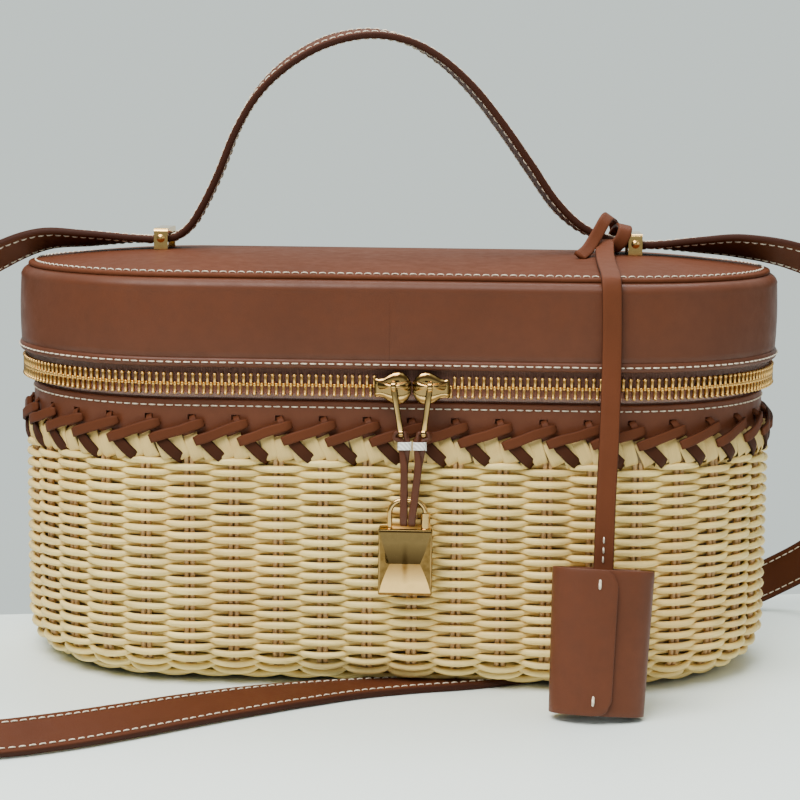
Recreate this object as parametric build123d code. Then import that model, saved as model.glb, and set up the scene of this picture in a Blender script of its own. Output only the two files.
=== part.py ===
"""Basket box bag: a leather-covered lid zipped to a woven rattan basket.

Millimetres, +Z up, +X to the right of the front, which faces -Y.  The origin is on the
surface that the bag stands on, under the middle of the basket.

Most pieces follow one outline: two straight sides joined by two round ends.  Such a piece is
drawn once as a section of (radius, height), where the radius is measured outwards from the
outline's straight centre line, and is then carried all the way round.
"""

import os
from math import atan2, cos, degrees, pi, radians, sin, sqrt

from build123d import *

# ---------------------------------------------------------------- driving dimensions
# Outline
HALF_STRAIGHT = 70.0  # half the length of the straight sides
LID_RADIUS = 65.0  # outside of the lid, from the centre line

# Lid
LID_TOP_Z = 139.1  # edge of the top, at the seam
LID_BOTTOM_Z = 109.7  # lower edge of the hem
LID_EDGE_ROUND = 4.0  # rounding between the side band and the top
LID_LEATHER = 2.0  # side band
HEM_HEIGHT = 2.8
HEM_PROUD = 0.3
FLANGE_WIDTH = 10.0  # side band turned in over the board
PANEL_INSET = 3.0  # seam to the outside of the lid
PANEL_LEATHER = 1.4
CROWN_RISE = 4.5  # middle of the top panel above its edge
BOARD_WALL = 2.2
LINING = 0.8

# Zip
ZIP_Z = 104.0
TAPE = 0.6
TAPE_GAP = 1.2  # between the two tapes
TOOTH_PITCH = 2.41
TOOTH_WIDTH = 1.3
TOOTH_HEIGHT = 2.6
TOOTH_PROUD = 1.0
TAPE_SEAM_Z = 118.0  # top of the upper tape, behind the side band
SLIDER_LENGTH = 12.4
SLIDER_HEIGHT = 9.2
SLIDER_PLATE = 1.7
SLIDER_MEET_X = 7.7  # where the two noses meet
SLIDER_NOSE_GAP = 0.4
BRIDGE_PIN_RADIUS = 0.6
PULL_SETBACK = 2.1  # bridge pin in front of the slider's plate

# Basket
STRAP_THICKNESS = 2.4
BASKET_INSET = 2.6  # weave to the outside of the lid
BASKET_WALL = 2.4
BASKET_BASE = 3.0
BASKET_ROUND = 12.0  # rounding between wall and base
RIM_BOTTOM_Z = 78.5
RIM_TOP_Z = 86.0
RIM_THICKNESS = 4.4
COLLAR_TOP_Z = 98.3
COLLAR_INSET = 4.4
COLLAR_LEATHER = 1.6
HOLE_COUNT = 45
HOLE_Z = 92.3
HOLE_WIDTH = 2.8
HOLE_HEIGHT = 1.8
LACE = 1.6  # thickness that the lacing stands out from the rim
HINGE_STRIP_LENGTH = 120.0
HINGE_STRIP = 1.4

# Strap and its gold staples
STRAP_WIDTH = 15.0
STAPLE_X = 84.0  # middle of a staple from the middle of the bag
STAPLE_LENGTH = 4.9
STAPLE_BAR = 1.9
STAPLE_TOP_Z = 152.3
STRAP_SIDE_GAP = 0.6  # strap to a staple's legs, each side
POST_RADIUS = 0.8
CAP_RADIUS = 3.0
CAP_THICKNESS = 1.2

# Pulls, cords and padlock
PULL_LENGTH = 15.6
PULL_WIDTH = 2.0
PULL_THICKNESS = 1.2
PULL_BOSS = 1.6  # lower end, round the cord's cross-hole
PULL_BOSS_RADIUS = 1.3
CORD_RADIUS = 0.7
BINDING_DROP = 5.0  # pull's end to the middle of the thread binding
BINDING_LENGTH = 2.8
BINDING_THREAD = 0.45
LOCK_WIDTH = 17.9
LOCK_HEIGHT = 22.7
LOCK_DEPTH = 8.0
LOCK_TOP_Z = 57.4
LOCK_X = 6.2
LOCK_BEVEL = 4.4  # width of the sloping faces on the front
LOCK_RELIEF = 1.6  # how far they stand out
SHACKLE_RADIUS = 0.85
SHACKLE_RISE = 10.0  # above the body
SHACKLE_BEND = 4.2
SHACKLE_LIFT = 5.5  # travel that frees the short leg
SHACKLE_LEFT_X = 0.9
SHACKLE_RIGHT_X = 12.7
SLEEVE_RADIUS = 1.6
SLEEVE_HEIGHT = 5.0
CYLINDER_RADIUS = 2.6
CYLINDER_HEIGHT = 6.0

# Key bell and thong
THONG_WIDTH = 6.6
THONG = 1.6
BELL_X = 69.5
BELL_BASE_Y = -90.0
BELL_BASE_Z = 1.4
BELL_HEIGHT = 47.0
BELL_TOP_WIDTH = 32.0
BELL_BASE_WIDTH = 29.5
BELL_DEPTH = 12.5
BELL_LEATHER = 1.5
BELL_LEAN_BACK = 10.0  # degrees, along the thong
BELL_LEAN_SIDE = 2.3
KEY_LENGTH = 17.0
KEY_RING_Z = 21.4  # above the bell's base
KEY_RING_RADIUS = 3.2
KEY_RING_WIRE = 0.5
KEY_BOW_Z = 17.6

FIT = 0.3  # clearance between pieces that move past each other
LOOSE = 0.15  # clearance between pieces of one body

# ---------------------------------------------------------------- worked-out dimensions
BAND_INNER = LID_RADIUS - LID_LEATHER
BOARD_OUTER = BAND_INNER - TAPE
BOARD_INNER = BOARD_OUTER - BOARD_WALL
LINING_INNER = BOARD_INNER - LINING
HEM_TOP_Z = LID_BOTTOM_Z + HEM_HEIGHT
BOARD_BOTTOM_Z = LID_BOTTOM_Z + 0.3
PANEL_RADIUS = LID_RADIUS - PANEL_INSET
FLANGE_RADIUS = LID_RADIUS - FLANGE_WIDTH
BASKET_RADIUS = LID_RADIUS - BASKET_INSET
BASKET_BOTTOM_Z = STRAP_THICKNESS + LOOSE
RIM_RADIUS = BASKET_RADIUS + 0.2
RIM_INNER = RIM_RADIUS - RIM_THICKNESS
COLLAR_RADIUS = LID_RADIUS - COLLAR_INSET
LINER_OUTER = RIM_INNER
TEETH_RADIUS = BAND_INNER + TOOTH_PROUD
UPPER_TAPE_Z = ZIP_Z + TAPE_GAP / 2
LOWER_TAPE_Z = ZIP_Z - TAPE_GAP / 2

ON_BASE = (Align.CENTER, Align.CENTER, Align.MIN)

os.makedirs("parts", exist_ok=True)


def save(name, *solids):
    """Write one node's solids to its own file."""
    shape = solids[0] if len(solids) == 1 else Compound(children=list(solids))
    export_step(shape, f"parts/{name}.step")


# ---------------------------------------------------------------- shared shapes
def section(*points):
    """A closed face of straight edges in the plane of (radius, height)."""
    return make_face(Polyline([(r, 0, z) for r, z in points], close=True))


def around(face):
    """Carry a section round the outline: straight sides and round ends."""
    side = Rot(0, 0, -90) * face
    front = extrude(Pos(-HALF_STRAIGHT, 0, 0) * side, amount=2 * HALF_STRAIGHT, dir=(1, 0, 0))
    end = Pos(HALF_STRAIGHT, 0, 0) * revolve(side, Axis.Z, 180)
    half = front + end
    return half + Rot(0, 0, 180) * half


def crown_z(radius, below=0.0):
    """Height of the crowned top at a radius, or of a layer that lies below it."""
    edge = LID_TOP_Z + PANEL_LEATHER - below
    return edge + CROWN_RISE * (1 - (radius / PANEL_RADIUS) ** 2)


def crown_edge(start, end, below):
    """The crowned line between two radii, as an arc."""
    middle = (start + end) / 2
    points = [(r, 0, crown_z(r, below)) for r in (start, middle, end)]
    return ThreePointArc(*points)


def rounded_box(width, depth, height, rounding):
    """A block with its upright edges rounded, standing on z = 0."""
    block = Box(width, depth, height, align=ON_BASE)
    return fillet(block.edges().filter_by(Axis.Z), rounding)


def rod(start, end, radius):
    """A round bar between two points."""
    line = Vector(*end) - Vector(*start)
    plane = Plane(origin=start, z_dir=line)
    return extrude(plane * Circle(radius), amount=line.length)


def tube(points, radius):
    """A soft round cord: bars between the points, with round knuckles at the bends."""
    bars = [rod(a, b, radius) for a, b in zip(points, points[1:])]
    knuckles = [Pos(*p) * Sphere(radius) for p in points[1:-1]]
    return bars[0].fuse(*bars[1:], *knuckles)


def ribbon(route, width, thickness, closed=False, steps=3):
    """A flat strap along a route of (x, y, z, ax, ay, az): a point, and the way its width lies.

    The points are joined by a smooth curve, and the width turns evenly between them.
    """
    points = [Vector(*row[:3]) for row in route]
    across = [Vector(*row[3:]) for row in route]
    path = Spline(*points, periodic=closed)
    marks = [path.param_at_point(point) for point in points]
    marks[0] = 0.0
    if closed:
        marks.append(1.0)
        across.append(across[0])
    else:
        marks[-1] = 1.0
    stations = []
    for (t0, t1), (a0, a1) in zip(zip(marks, marks[1:]), zip(across, across[1:])):
        for step in range(steps):
            share = step / steps
            stations.append((t0 + (t1 - t0) * share, a0 * (1 - share) + a1 * share))
    if not closed:
        stations.append((1.0, across[-1]))
    rings = []
    for t, way in stations:
        centre = path.position_at(t)
        along = path.tangent_at(t)
        way = (way - along * way.dot(along)).normalized()
        up = along.cross(way)
        corners = [(1, 1), (-1, 1), (-1, -1), (1, -1)]
        rings.append([centre + way * (a * width / 2) + up * (b * thickness / 2) for a, b in corners])
    faces = []
    pairs = list(zip(rings, rings[1:] + rings[:1]))
    for ring, after in pairs if closed else pairs[:-1]:
        for i in range(4):
            j = (i + 1) % 4
            faces.append(Face(Wire.make_polygon([ring[i], ring[j], after[j]])))
            faces.append(Face(Wire.make_polygon([ring[i], after[j], after[i]])))
    if not closed:
        faces += [Face(Wire.make_polygon(rings[0])), Face(Wire.make_polygon(rings[-1]))]
    return Solid(Shell(faces))


# ---------------------------------------------------------------- lid
def post_places():
    """Where the staples' posts go through the lid."""
    leg = STRAP_WIDTH / 2 + STRAP_SIDE_GAP + STAPLE_BAR / 2
    return [(sx * STAPLE_X, sy * leg) for sx in (-1, 1) for sy in (-1, 1)]


def post_holes():
    """Cutters for the posts, through every layer of the lid."""
    radius = POST_RADIUS + LOOSE
    return [Pos(x, y, LID_TOP_Z) * Cylinder(radius, 40) for x, y in post_places()]


def lid_side_band():
    wall = section(
        (BAND_INNER, HEM_TOP_Z),
        (LID_RADIUS, HEM_TOP_Z),
        (LID_RADIUS, LID_TOP_Z),
        (FLANGE_RADIUS, LID_TOP_Z),
        (FLANGE_RADIUS, LID_TOP_Z - LID_LEATHER),
        (BAND_INNER, LID_TOP_Z - LID_LEATHER),
    )
    corner = wall.vertices().sort_by(Axis.X)[-2:].sort_by(Axis.Z)[-1]
    return around(fillet(corner, LID_EDGE_ROUND))


def lid_hem():
    outer = LID_RADIUS + HEM_PROUD
    face = section(
        (BAND_INNER, LID_BOTTOM_Z), (outer, LID_BOTTOM_Z), (outer, HEM_TOP_Z), (BAND_INNER, HEM_TOP_Z)
    )
    outside = face.vertices().sort_by(Axis.X)[-2:]
    return around(fillet(outside, 0.6))


def lid_top_panel():
    inner = FLANGE_RADIUS - LOOSE
    outline = [
        crown_edge(0, PANEL_RADIUS, 0),
        Polyline(
            (PANEL_RADIUS, 0, crown_z(PANEL_RADIUS)),
            (PANEL_RADIUS, 0, LID_TOP_Z),
            (inner, 0, LID_TOP_Z),
            (inner, 0, crown_z(inner, PANEL_LEATHER)),
        ),
        crown_edge(inner, 0, PANEL_LEATHER),
        Line((0, 0, crown_z(0, PANEL_LEATHER)), (0, 0, crown_z(0))),
    ]
    return around(make_face(outline)).cut(*post_holes())


def lid_board():
    step = FLANGE_RADIUS - LOOSE
    under = LID_TOP_Z - LID_LEATHER
    lower = PANEL_LEATHER + BOARD_WALL
    inner = step - BOARD_WALL
    outline = [
        crown_edge(0, step, PANEL_LEATHER),
        Polyline(
            (step, 0, crown_z(step, PANEL_LEATHER)),
            (step, 0, under),
            (BOARD_OUTER, 0, under),
            (BOARD_OUTER, 0, BOARD_BOTTOM_Z),
            (BOARD_INNER, 0, BOARD_BOTTOM_Z),
            (BOARD_INNER, 0, under - BOARD_WALL),
            (inner, 0, under - BOARD_WALL),
            (inner, 0, crown_z(inner, lower)),
        ),
        crown_edge(inner, 0, lower),
        Line((0, 0, crown_z(0, lower)), (0, 0, crown_z(0, PANEL_LEATHER))),
    ]
    return around(make_face(outline)).cut(*post_holes())


def lid_lining():
    above = PANEL_LEATHER + BOARD_WALL
    below = above + LINING
    step = FLANGE_RADIUS - LOOSE - BOARD_WALL
    flat = LID_TOP_Z - LID_LEATHER - BOARD_WALL
    outline = [
        crown_edge(0, step, above),
        Polyline(
            (step, 0, crown_z(step, above)),
            (step, 0, flat),
            (BOARD_INNER, 0, flat),
            (BOARD_INNER, 0, BOARD_BOTTOM_Z),
            (LINING_INNER, 0, BOARD_BOTTOM_Z),
            (LINING_INNER, 0, flat - LINING),
            (step - LINING, 0, flat - LINING),
            (step - LINING, 0, crown_z(step - LINING, below)),
        ),
        crown_edge(step - LINING, 0, below),
        Line((0, 0, crown_z(0, below)), (0, 0, crown_z(0, above))),
    ]
    return around(make_face(outline)).cut(*post_holes())


def staple_foot_z():
    """Height at which a staple's legs seat on the crowned panel."""
    leg = STRAP_WIDTH / 2 + STRAP_SIDE_GAP
    reach = sqrt((STAPLE_X - STAPLE_LENGTH / 2 - HALF_STRAIGHT) ** 2 + leg**2)
    return crown_z(reach)


def strap_loop(side):
    """A gold staple over the strap, with a post under each leg."""
    foot = staple_foot_z()
    span = STRAP_WIDTH + 2 * STRAP_SIDE_GAP
    height = STAPLE_TOP_Z - foot
    bridge = Pos(0, 0, foot) * Box(STAPLE_LENGTH, span + 2 * STAPLE_BAR, height, align=ON_BASE)
    shoulders = bridge.edges().filter_by(Axis.X).group_by(Axis.Z)[-1]
    bridge = fillet(shoulders, STAPLE_BAR * 0.8)
    window = Pos(0, 0, foot) * Box(2 * STAPLE_LENGTH, span, height - STAPLE_BAR, align=ON_BASE)
    loop = Pos(side * STAPLE_X, 0, 0) * (bridge - window)
    bottom = crown_z(reach_of_post(), PANEL_LEATHER + BOARD_WALL + LINING) - CAP_THICKNESS
    posts = [
        Pos(x, y, bottom) * Cylinder(POST_RADIUS, foot + 0.5 - bottom, align=ON_BASE)
        for x, y in post_places()
        if x * side > 0
    ]
    return loop.fuse(*posts)


def reach_of_post():
    """Radius, from the centre line, at which the posts stand."""
    x, y = post_places()[-1]
    return sqrt((x - HALF_STRAIGHT) ** 2 + y**2)


def loop_rivet_caps():
    """A cap on each post, against the lining."""
    top = crown_z(reach_of_post() + CAP_RADIUS, PANEL_LEATHER + BOARD_WALL + LINING)
    ring = Cylinder(CAP_RADIUS, CAP_THICKNESS, align=ON_BASE)
    ring -= Cylinder(POST_RADIUS + LOOSE, 3 * CAP_THICKNESS)
    return [Pos(x, y, top - CAP_THICKNESS) * ring for x, y in post_places()]


# ---------------------------------------------------------------- zip
def zip_tape_upper():
    inner = BAND_INNER - TAPE
    return around(
        section(
            (inner, UPPER_TAPE_Z), (BAND_INNER, UPPER_TAPE_Z), (BAND_INNER, TAPE_SEAM_Z), (inner, TAPE_SEAM_Z)
        )
    )


def zip_tape_lower():
    """The lower tape slopes in from the teeth and is sewn behind the collar."""
    slope_top = ZIP_Z - TOOTH_HEIGHT - 0.4
    behind = COLLAR_RADIUS - COLLAR_LEATHER
    over = COLLAR_TOP_Z + 0.4
    down = COLLAR_TOP_Z - 8.0
    return around(
        section(
            (BAND_INNER, LOWER_TAPE_Z),
            (BAND_INNER, slope_top),
            (behind, over),
            (behind, down),
            (behind - TAPE, down),
            (behind - TAPE, over + 0.35),
            (BAND_INNER - TAPE, slope_top + 0.35),
            (BAND_INNER - TAPE, LOWER_TAPE_Z),
        )
    )


def outline_places(radius, pitch, shift):
    """Evenly spaced places round the outline: (x, y, heading), starting at the front middle."""
    straight = 2 * HALF_STRAIGHT
    arc = pi * radius
    count = round((2 * straight + 2 * arc) / pitch)
    step = (2 * straight + 2 * arc) / count
    places = []
    for i in range(count):
        s = (HALF_STRAIGHT + (i + shift) * step) % (2 * straight + 2 * arc)
        if s < straight:
            places.append((s - HALF_STRAIGHT, -radius, 0.0))
        elif s < straight + arc:
            turn = (s - straight) / radius
            x = HALF_STRAIGHT + radius * sin(turn)
            places.append((x, -radius * cos(turn), degrees(turn)))
        elif s < 2 * straight + arc:
            places.append((HALF_STRAIGHT - (s - straight - arc), radius, 180.0))
        else:
            turn = (s - 2 * straight - arc) / radius
            x = -HALF_STRAIGHT - radius * sin(turn)
            places.append((x, radius * cos(turn), 180.0 + degrees(turn)))
    return places


def zip_teeth(bottom, shift):
    """Separate teeth on the tape, left out at the sliders and at the back hinge."""
    tooth = Pos(0, -TOOTH_PROUD / 2, bottom) * Box(TOOTH_WIDTH, TOOTH_PROUD, TOOTH_HEIGHT, align=ON_BASE)
    slider_span = SLIDER_LENGTH / 2 + SLIDER_NOSE_GAP
    teeth = []
    for x, y, heading in outline_places(BAND_INNER, TOOTH_PITCH, shift):
        in_sliders = y < 0 and abs(x - SLIDER_MEET_X) < slider_span + TOOTH_WIDTH
        at_hinge = y > BAND_INNER - 1 and abs(x) < HINGE_STRIP_LENGTH / 2 + TOOTH_WIDTH
        if not in_sliders and not at_hinge:
            teeth.append(Pos(x, y, 0) * Rot(0, 0, heading) * tooth)
    return teeth


def back_hinge_strip():
    bottom = ZIP_Z - TOOTH_HEIGHT - 0.3
    height = LID_BOTTOM_Z - FIT - bottom
    y = BAND_INNER + FIT + HINGE_STRIP / 2
    return Pos(0, y, bottom) * Box(HINGE_STRIP_LENGTH, HINGE_STRIP, height, align=ON_BASE)


def slider_front():
    """Inner and outer faces of a slider's front plate, as distances in front of the middle."""
    inner = TEETH_RADIUS + FIT * 2
    return inner, inner + SLIDER_PLATE


def pull_pin_y():
    return -(slider_front()[1] + PULL_SETBACK)


def zip_slider(side):
    """A slider: plates before and behind the tapes, a thin post between, and a bridge pin."""
    inner, outer = slider_front()
    back_outer = BAND_INNER - TAPE - FIT
    back_inner = back_outer - 1.0
    middle = SLIDER_MEET_X + side * (SLIDER_LENGTH + SLIDER_NOSE_GAP) / 2
    bottom = ZIP_Z - SLIDER_HEIGHT / 2 - 0.3
    front = Pos(middle, -(inner + outer) / 2, bottom) * Box(
        SLIDER_LENGTH, SLIDER_PLATE, SLIDER_HEIGHT, align=ON_BASE
    )
    front = fillet(front.edges().filter_by(Axis.Y), 2.2)
    back_bottom = ZIP_Z - TOOTH_HEIGHT + 0.6
    back = Pos(middle, -(back_inner + back_outer) / 2, back_bottom) * Box(
        SLIDER_LENGTH - 1, back_outer - back_inner, bottom + SLIDER_HEIGHT - back_bottom, align=ON_BASE
    )
    post_x = SLIDER_MEET_X + side * 2.2
    post = Pos(post_x, -(back_outer + inner) / 2, ZIP_Z) * Box(
        2.4, inner - back_outer + 0.4, TAPE_GAP - 2 * FIT
    )
    pin_y = pull_pin_y()
    pin_x = pull_x(side)
    ear_z = pull_pin_z()
    pin_half = 1.8
    ears = [
        Pos(pin_x + s * (pin_half - 0.3), (pin_y - outer) / 2 - 0.2, ear_z)
        * Box(0.6, abs(pin_y + outer) + 1.2, 1.6)
        for s in (-1, 1)
    ]
    pin = rod((pin_x - pin_half, pin_y, ear_z), (pin_x + pin_half, pin_y, ear_z), BRIDGE_PIN_RADIUS)
    return front.fuse(back, post, *ears, pin)


def pull_x(side):
    return SLIDER_MEET_X + side * 6.0


def pull_pin_z():
    return ZIP_Z + 0.6


# ---------------------------------------------------------------- pulls, cords and padlock
def pull_end(side):
    """The lower end of a pull: the two pulls lean towards each other."""
    lean = 2.6 if side < 0 else -1.9
    return pull_x(side) + lean, pull_pin_z() - PULL_LENGTH


def zip_pull(side):
    """A slender bar with an eye on the bridge pin and a cross-hole for the cord."""
    y = pull_pin_y()
    top = (pull_x(side), pull_pin_z())
    end = pull_end(side)
    eye = Pos(top[0], y, top[1]) * Rot(0, 90, 0) * Cylinder(BRIDGE_PIN_RADIUS + 1.0, 1.8)
    boss = Pos(end[0], y, end[1]) * Rot(0, 90, 0) * Cylinder(PULL_BOSS_RADIUS, PULL_BOSS)
    lean = degrees(atan2(end[0] - top[0], top[1] - end[1]))
    length = PULL_LENGTH - 0.6
    bar = Pos((top[0] + end[0]) / 2, y, (top[1] + end[1]) / 2) * Rot(0, -lean, 0) * Box(
        PULL_WIDTH, PULL_THICKNESS, length
    )
    bar -= Pos(top[0], y, top[1]) * Box(6, 4, 2 * BRIDGE_PIN_RADIUS + 1.2)
    bar -= Pos(end[0], y, end[1]) * Box(6, 4, 2 * CORD_RADIUS + 1.0)
    pull = eye + bar + boss
    pull -= Pos(top[0], y, top[1]) * Rot(0, 90, 0) * Cylinder(BRIDGE_PIN_RADIUS + FIT, 6)
    pull -= Pos(end[0], y, end[1]) * Rot(0, 90, 0) * Cylinder(CORD_RADIUS + LOOSE, 6)
    return pull


def cord_lower_x(side):
    return LOCK_X + side * 1.5


def shackle_bar_z():
    return LOCK_TOP_Z + SHACKLE_RISE - SHACKLE_RADIUS


def binding_z():
    return pull_end(-1)[1] - BINDING_DROP


def binding_x(side):
    """The cords start to close in only below the binding."""
    top_x, _ = pull_end(side)
    return top_x + (cord_lower_x(side) - top_x) * 0.06


def pull_cord(side):
    """A cord through the pull's end, bound below it, then looped round the shackle."""
    y = pull_pin_y()
    top_x, top_z = pull_end(side)
    low_x = cord_lower_x(side)
    bar_z = shackle_bar_z()
    spread = PULL_BOSS / 2 + LOOSE + CORD_RADIUS
    near = CORD_RADIUS + 0.02
    bound_x = binding_x(side)
    apart = SHACKLE_RADIUS + FIT + CORD_RADIUS
    parted_z = bar_z + SHACKLE_LIFT + SHACKLE_RADIUS + FIT
    foot_z = LOCK_TOP_Z + FIT * 2 + CORD_RADIUS
    legs = []
    for s in (-1, 1):
        legs += [
            (top_x + s * spread, y, top_z),
            (top_x + s * spread, y, top_z - PULL_BOSS_RADIUS - 0.2),
            (bound_x + s * near, y, binding_z() + BINDING_LENGTH / 2 + 0.2),
            (bound_x + s * near, y, binding_z() - BINDING_LENGTH / 2 - 0.2),
            (low_x + s * near * 0.6, y + s * CORD_RADIUS, parted_z + 3.5),
            (low_x + s * near * 0.3, y + s * apart, parted_z),
            (low_x, y + s * apart, foot_z + 0.6),
            (low_x, y + s * 0.6, foot_z),
        ]
    half = len(legs) // 2
    loop = legs[:half] + legs[half:][::-1]
    return tube([(top_x, y, top_z)] + loop + [(top_x, y, top_z)], CORD_RADIUS)


def cord_binding(side):
    """Thread whipped round both legs of a cord."""
    bore = 2 * CORD_RADIUS + 2 * LOOSE
    outer = bore + 2 * BINDING_THREAD
    pair = 2 * CORD_RADIUS
    sleeve = SlotOverall(pair + outer, outer) - SlotOverall(pair + bore, bore)
    bottom = binding_z() - BINDING_LENGTH / 2
    return Pos(binding_x(side), pull_pin_y(), bottom) * extrude(sleeve, amount=BINDING_LENGTH)


def padlock_body():
    """A box with sloping faces on its front, bored for the shackle and the lock cylinder."""
    y = pull_pin_y()
    bottom = LOCK_TOP_Z - LOCK_HEIGHT
    middle_z = bottom + LOCK_HEIGHT / 2
    slab = Pos(LOCK_X, y + LOCK_RELIEF / 2, bottom) * rounded_box(
        LOCK_WIDTH, LOCK_DEPTH - LOCK_RELIEF, LOCK_HEIGHT, 0.6
    )
    front_y = y - LOCK_DEPTH / 2 + LOCK_RELIEF
    base = Plane(origin=(LOCK_X, front_y, middle_z), z_dir=(0, -1, 0), x_dir=(1, 0, 0))
    face = base * Rectangle(LOCK_WIDTH - 0.8, LOCK_HEIGHT - 0.8)
    raised = base.offset(LOCK_RELIEF) * Rectangle(LOCK_WIDTH - 2 * LOCK_BEVEL, LOCK_HEIGHT - 2 * LOCK_BEVEL)
    body = slab + loft([face, raised])
    bore = SHACKLE_RADIUS + LOOSE
    for x, depth in ((SHACKLE_LEFT_X, 5.0), (SHACKLE_RIGHT_X, 15.0)):
        body -= Pos(x, y, LOCK_TOP_Z - depth) * Cylinder(bore, depth + 1, align=ON_BASE)
    well = Cylinder(CYLINDER_RADIUS + LOOSE, CYLINDER_HEIGHT + LOOSE, align=ON_BASE)
    return body - Pos(LOCK_X, y, bottom) * well


def padlock_shackle():
    y = pull_pin_y()
    bar_z = shackle_bar_z()
    route = [
        (SHACKLE_LEFT_X, y, LOCK_TOP_Z - 4.5),
        (SHACKLE_LEFT_X, y, bar_z),
        (SHACKLE_RIGHT_X, y, bar_z),
        (SHACKLE_RIGHT_X, y, LOCK_TOP_Z - 14.0),
    ]
    path = FilletPolyline(*route, radius=SHACKLE_BEND)
    start = Plane(origin=route[0], z_dir=(0, 0, 1))
    return sweep(start * Circle(SHACKLE_RADIUS), path=path)


def shackle_sleeve():
    ring = Cylinder(SLEEVE_RADIUS, SLEEVE_HEIGHT, align=ON_BASE)
    ring -= Cylinder(SHACKLE_RADIUS + LOOSE, 3 * SLEEVE_HEIGHT)
    return Pos(SHACKLE_RIGHT_X, pull_pin_y(), LOCK_TOP_Z) * ring


def lock_cylinder():
    """The turning core in the padlock's base, with a keyway."""
    core = Cylinder(CYLINDER_RADIUS, CYLINDER_HEIGHT - FIT, align=ON_BASE)
    keyway = Box(3.4, 0.8, 9.0)
    return Pos(LOCK_X, pull_pin_y(), LOCK_TOP_Z - LOCK_HEIGHT) * (core - keyway)


# ---------------------------------------------------------------- basket
def woven_basket():
    inner = BASKET_RADIUS - BASKET_WALL
    floor_z = BASKET_BOTTOM_Z + BASKET_BASE
    outside = section(
        (0, BASKET_BOTTOM_Z), (BASKET_RADIUS, BASKET_BOTTOM_Z), (BASKET_RADIUS, RIM_BOTTOM_Z), (0, RIM_BOTTOM_Z)
    )
    lower = outside.vertices().sort_by(Axis.X)[-2:].sort_by(Axis.Z)[0]
    outside = fillet(lower, BASKET_ROUND)
    inside = section((0, floor_z), (inner, floor_z), (inner, RIM_BOTTOM_Z + 1), (0, RIM_BOTTOM_Z + 1))
    lower = inside.vertices().sort_by(Axis.X)[-2:].sort_by(Axis.Z)[0]
    inside = fillet(lower, BASKET_ROUND - BASKET_WALL)
    return around(outside - inside)


def basket_rim():
    face = section(
        (RIM_INNER, RIM_BOTTOM_Z), (RIM_RADIUS, RIM_BOTTOM_Z), (RIM_RADIUS, RIM_TOP_Z), (RIM_INNER, RIM_TOP_Z)
    )
    outside = face.vertices().sort_by(Axis.X)[-2:]
    return around(fillet(outside, 1.0))


def lower_collar():
    inner = COLLAR_RADIUS - COLLAR_LEATHER
    face = section(
        (inner, RIM_TOP_Z), (COLLAR_RADIUS, RIM_TOP_Z), (COLLAR_RADIUS, COLLAR_TOP_Z), (inner, COLLAR_TOP_Z)
    )
    top = face.vertices().sort_by(Axis.Z)[-2:]
    band = around(fillet(top, 0.7))
    pitch = outline_length(COLLAR_RADIUS) / HOLE_COUNT
    punch = Pos(0, 0, HOLE_Z) * Box(HOLE_WIDTH, 4 * COLLAR_LEATHER, HOLE_HEIGHT)
    holes = [Pos(x, y, 0) * Rot(0, 0, turn) * punch for x, y, turn in outline_places(COLLAR_RADIUS, pitch, 0.5)]
    return band.cut(*holes)


def outline_length(radius):
    return 4 * HALF_STRAIGHT + 2 * pi * radius


def rim_lacing():
    """The outer shape of the lace where it lies on the collar and the rim."""
    outer = RIM_RADIUS + LACE
    low = RIM_BOTTOM_Z + 0.6
    high = HOLE_Z - HOLE_HEIGHT / 2 - 0.4
    return around(
        section(
            (RIM_RADIUS, low),
            (outer - 0.6, low),
            (outer, low + 1.5),
            (outer, RIM_TOP_Z - 0.5),
            (COLLAR_RADIUS + 0.8, high),
            (COLLAR_RADIUS, high),
            (COLLAR_RADIUS, RIM_TOP_Z),
            (RIM_RADIUS, RIM_TOP_Z),
        )
    )


def basket_lining():
    floor_z = BASKET_BOTTOM_Z + BASKET_BASE
    inner = LINER_OUTER - LINING
    top = COLLAR_TOP_Z - 1.0
    outside = section((0, floor_z), (LINER_OUTER, floor_z), (LINER_OUTER, top), (0, top))
    lower = outside.vertices().sort_by(Axis.X)[-2:].sort_by(Axis.Z)[0]
    outside = fillet(lower, BASKET_ROUND - BASKET_WALL)
    inside = section((0, floor_z + LINING), (inner, floor_z + LINING), (inner, top + 1), (0, top + 1))
    lower = inside.vertices().sort_by(Axis.X)[-2:].sort_by(Axis.Z)[0]
    inside = fillet(lower, BASKET_ROUND - BASKET_WALL - LINING)
    return around(outside - inside)


# ---------------------------------------------------------------- strap
FLAT = STRAP_THICKNESS / 2


def tilted(x, y, ax, ay, tilt):
    """A point of the strap's route where it lies on the floor with its inner edge raised."""
    rise = STRAP_WIDTH / 2 * sin(radians(tilt)) + FLAT * cos(radians(tilt))
    flat = cos(radians(tilt))
    size = sqrt(ax * ax + ay * ay)
    return (x, y, rise, ax / size * flat, ay / size * flat, sin(radians(tilt)))


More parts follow.
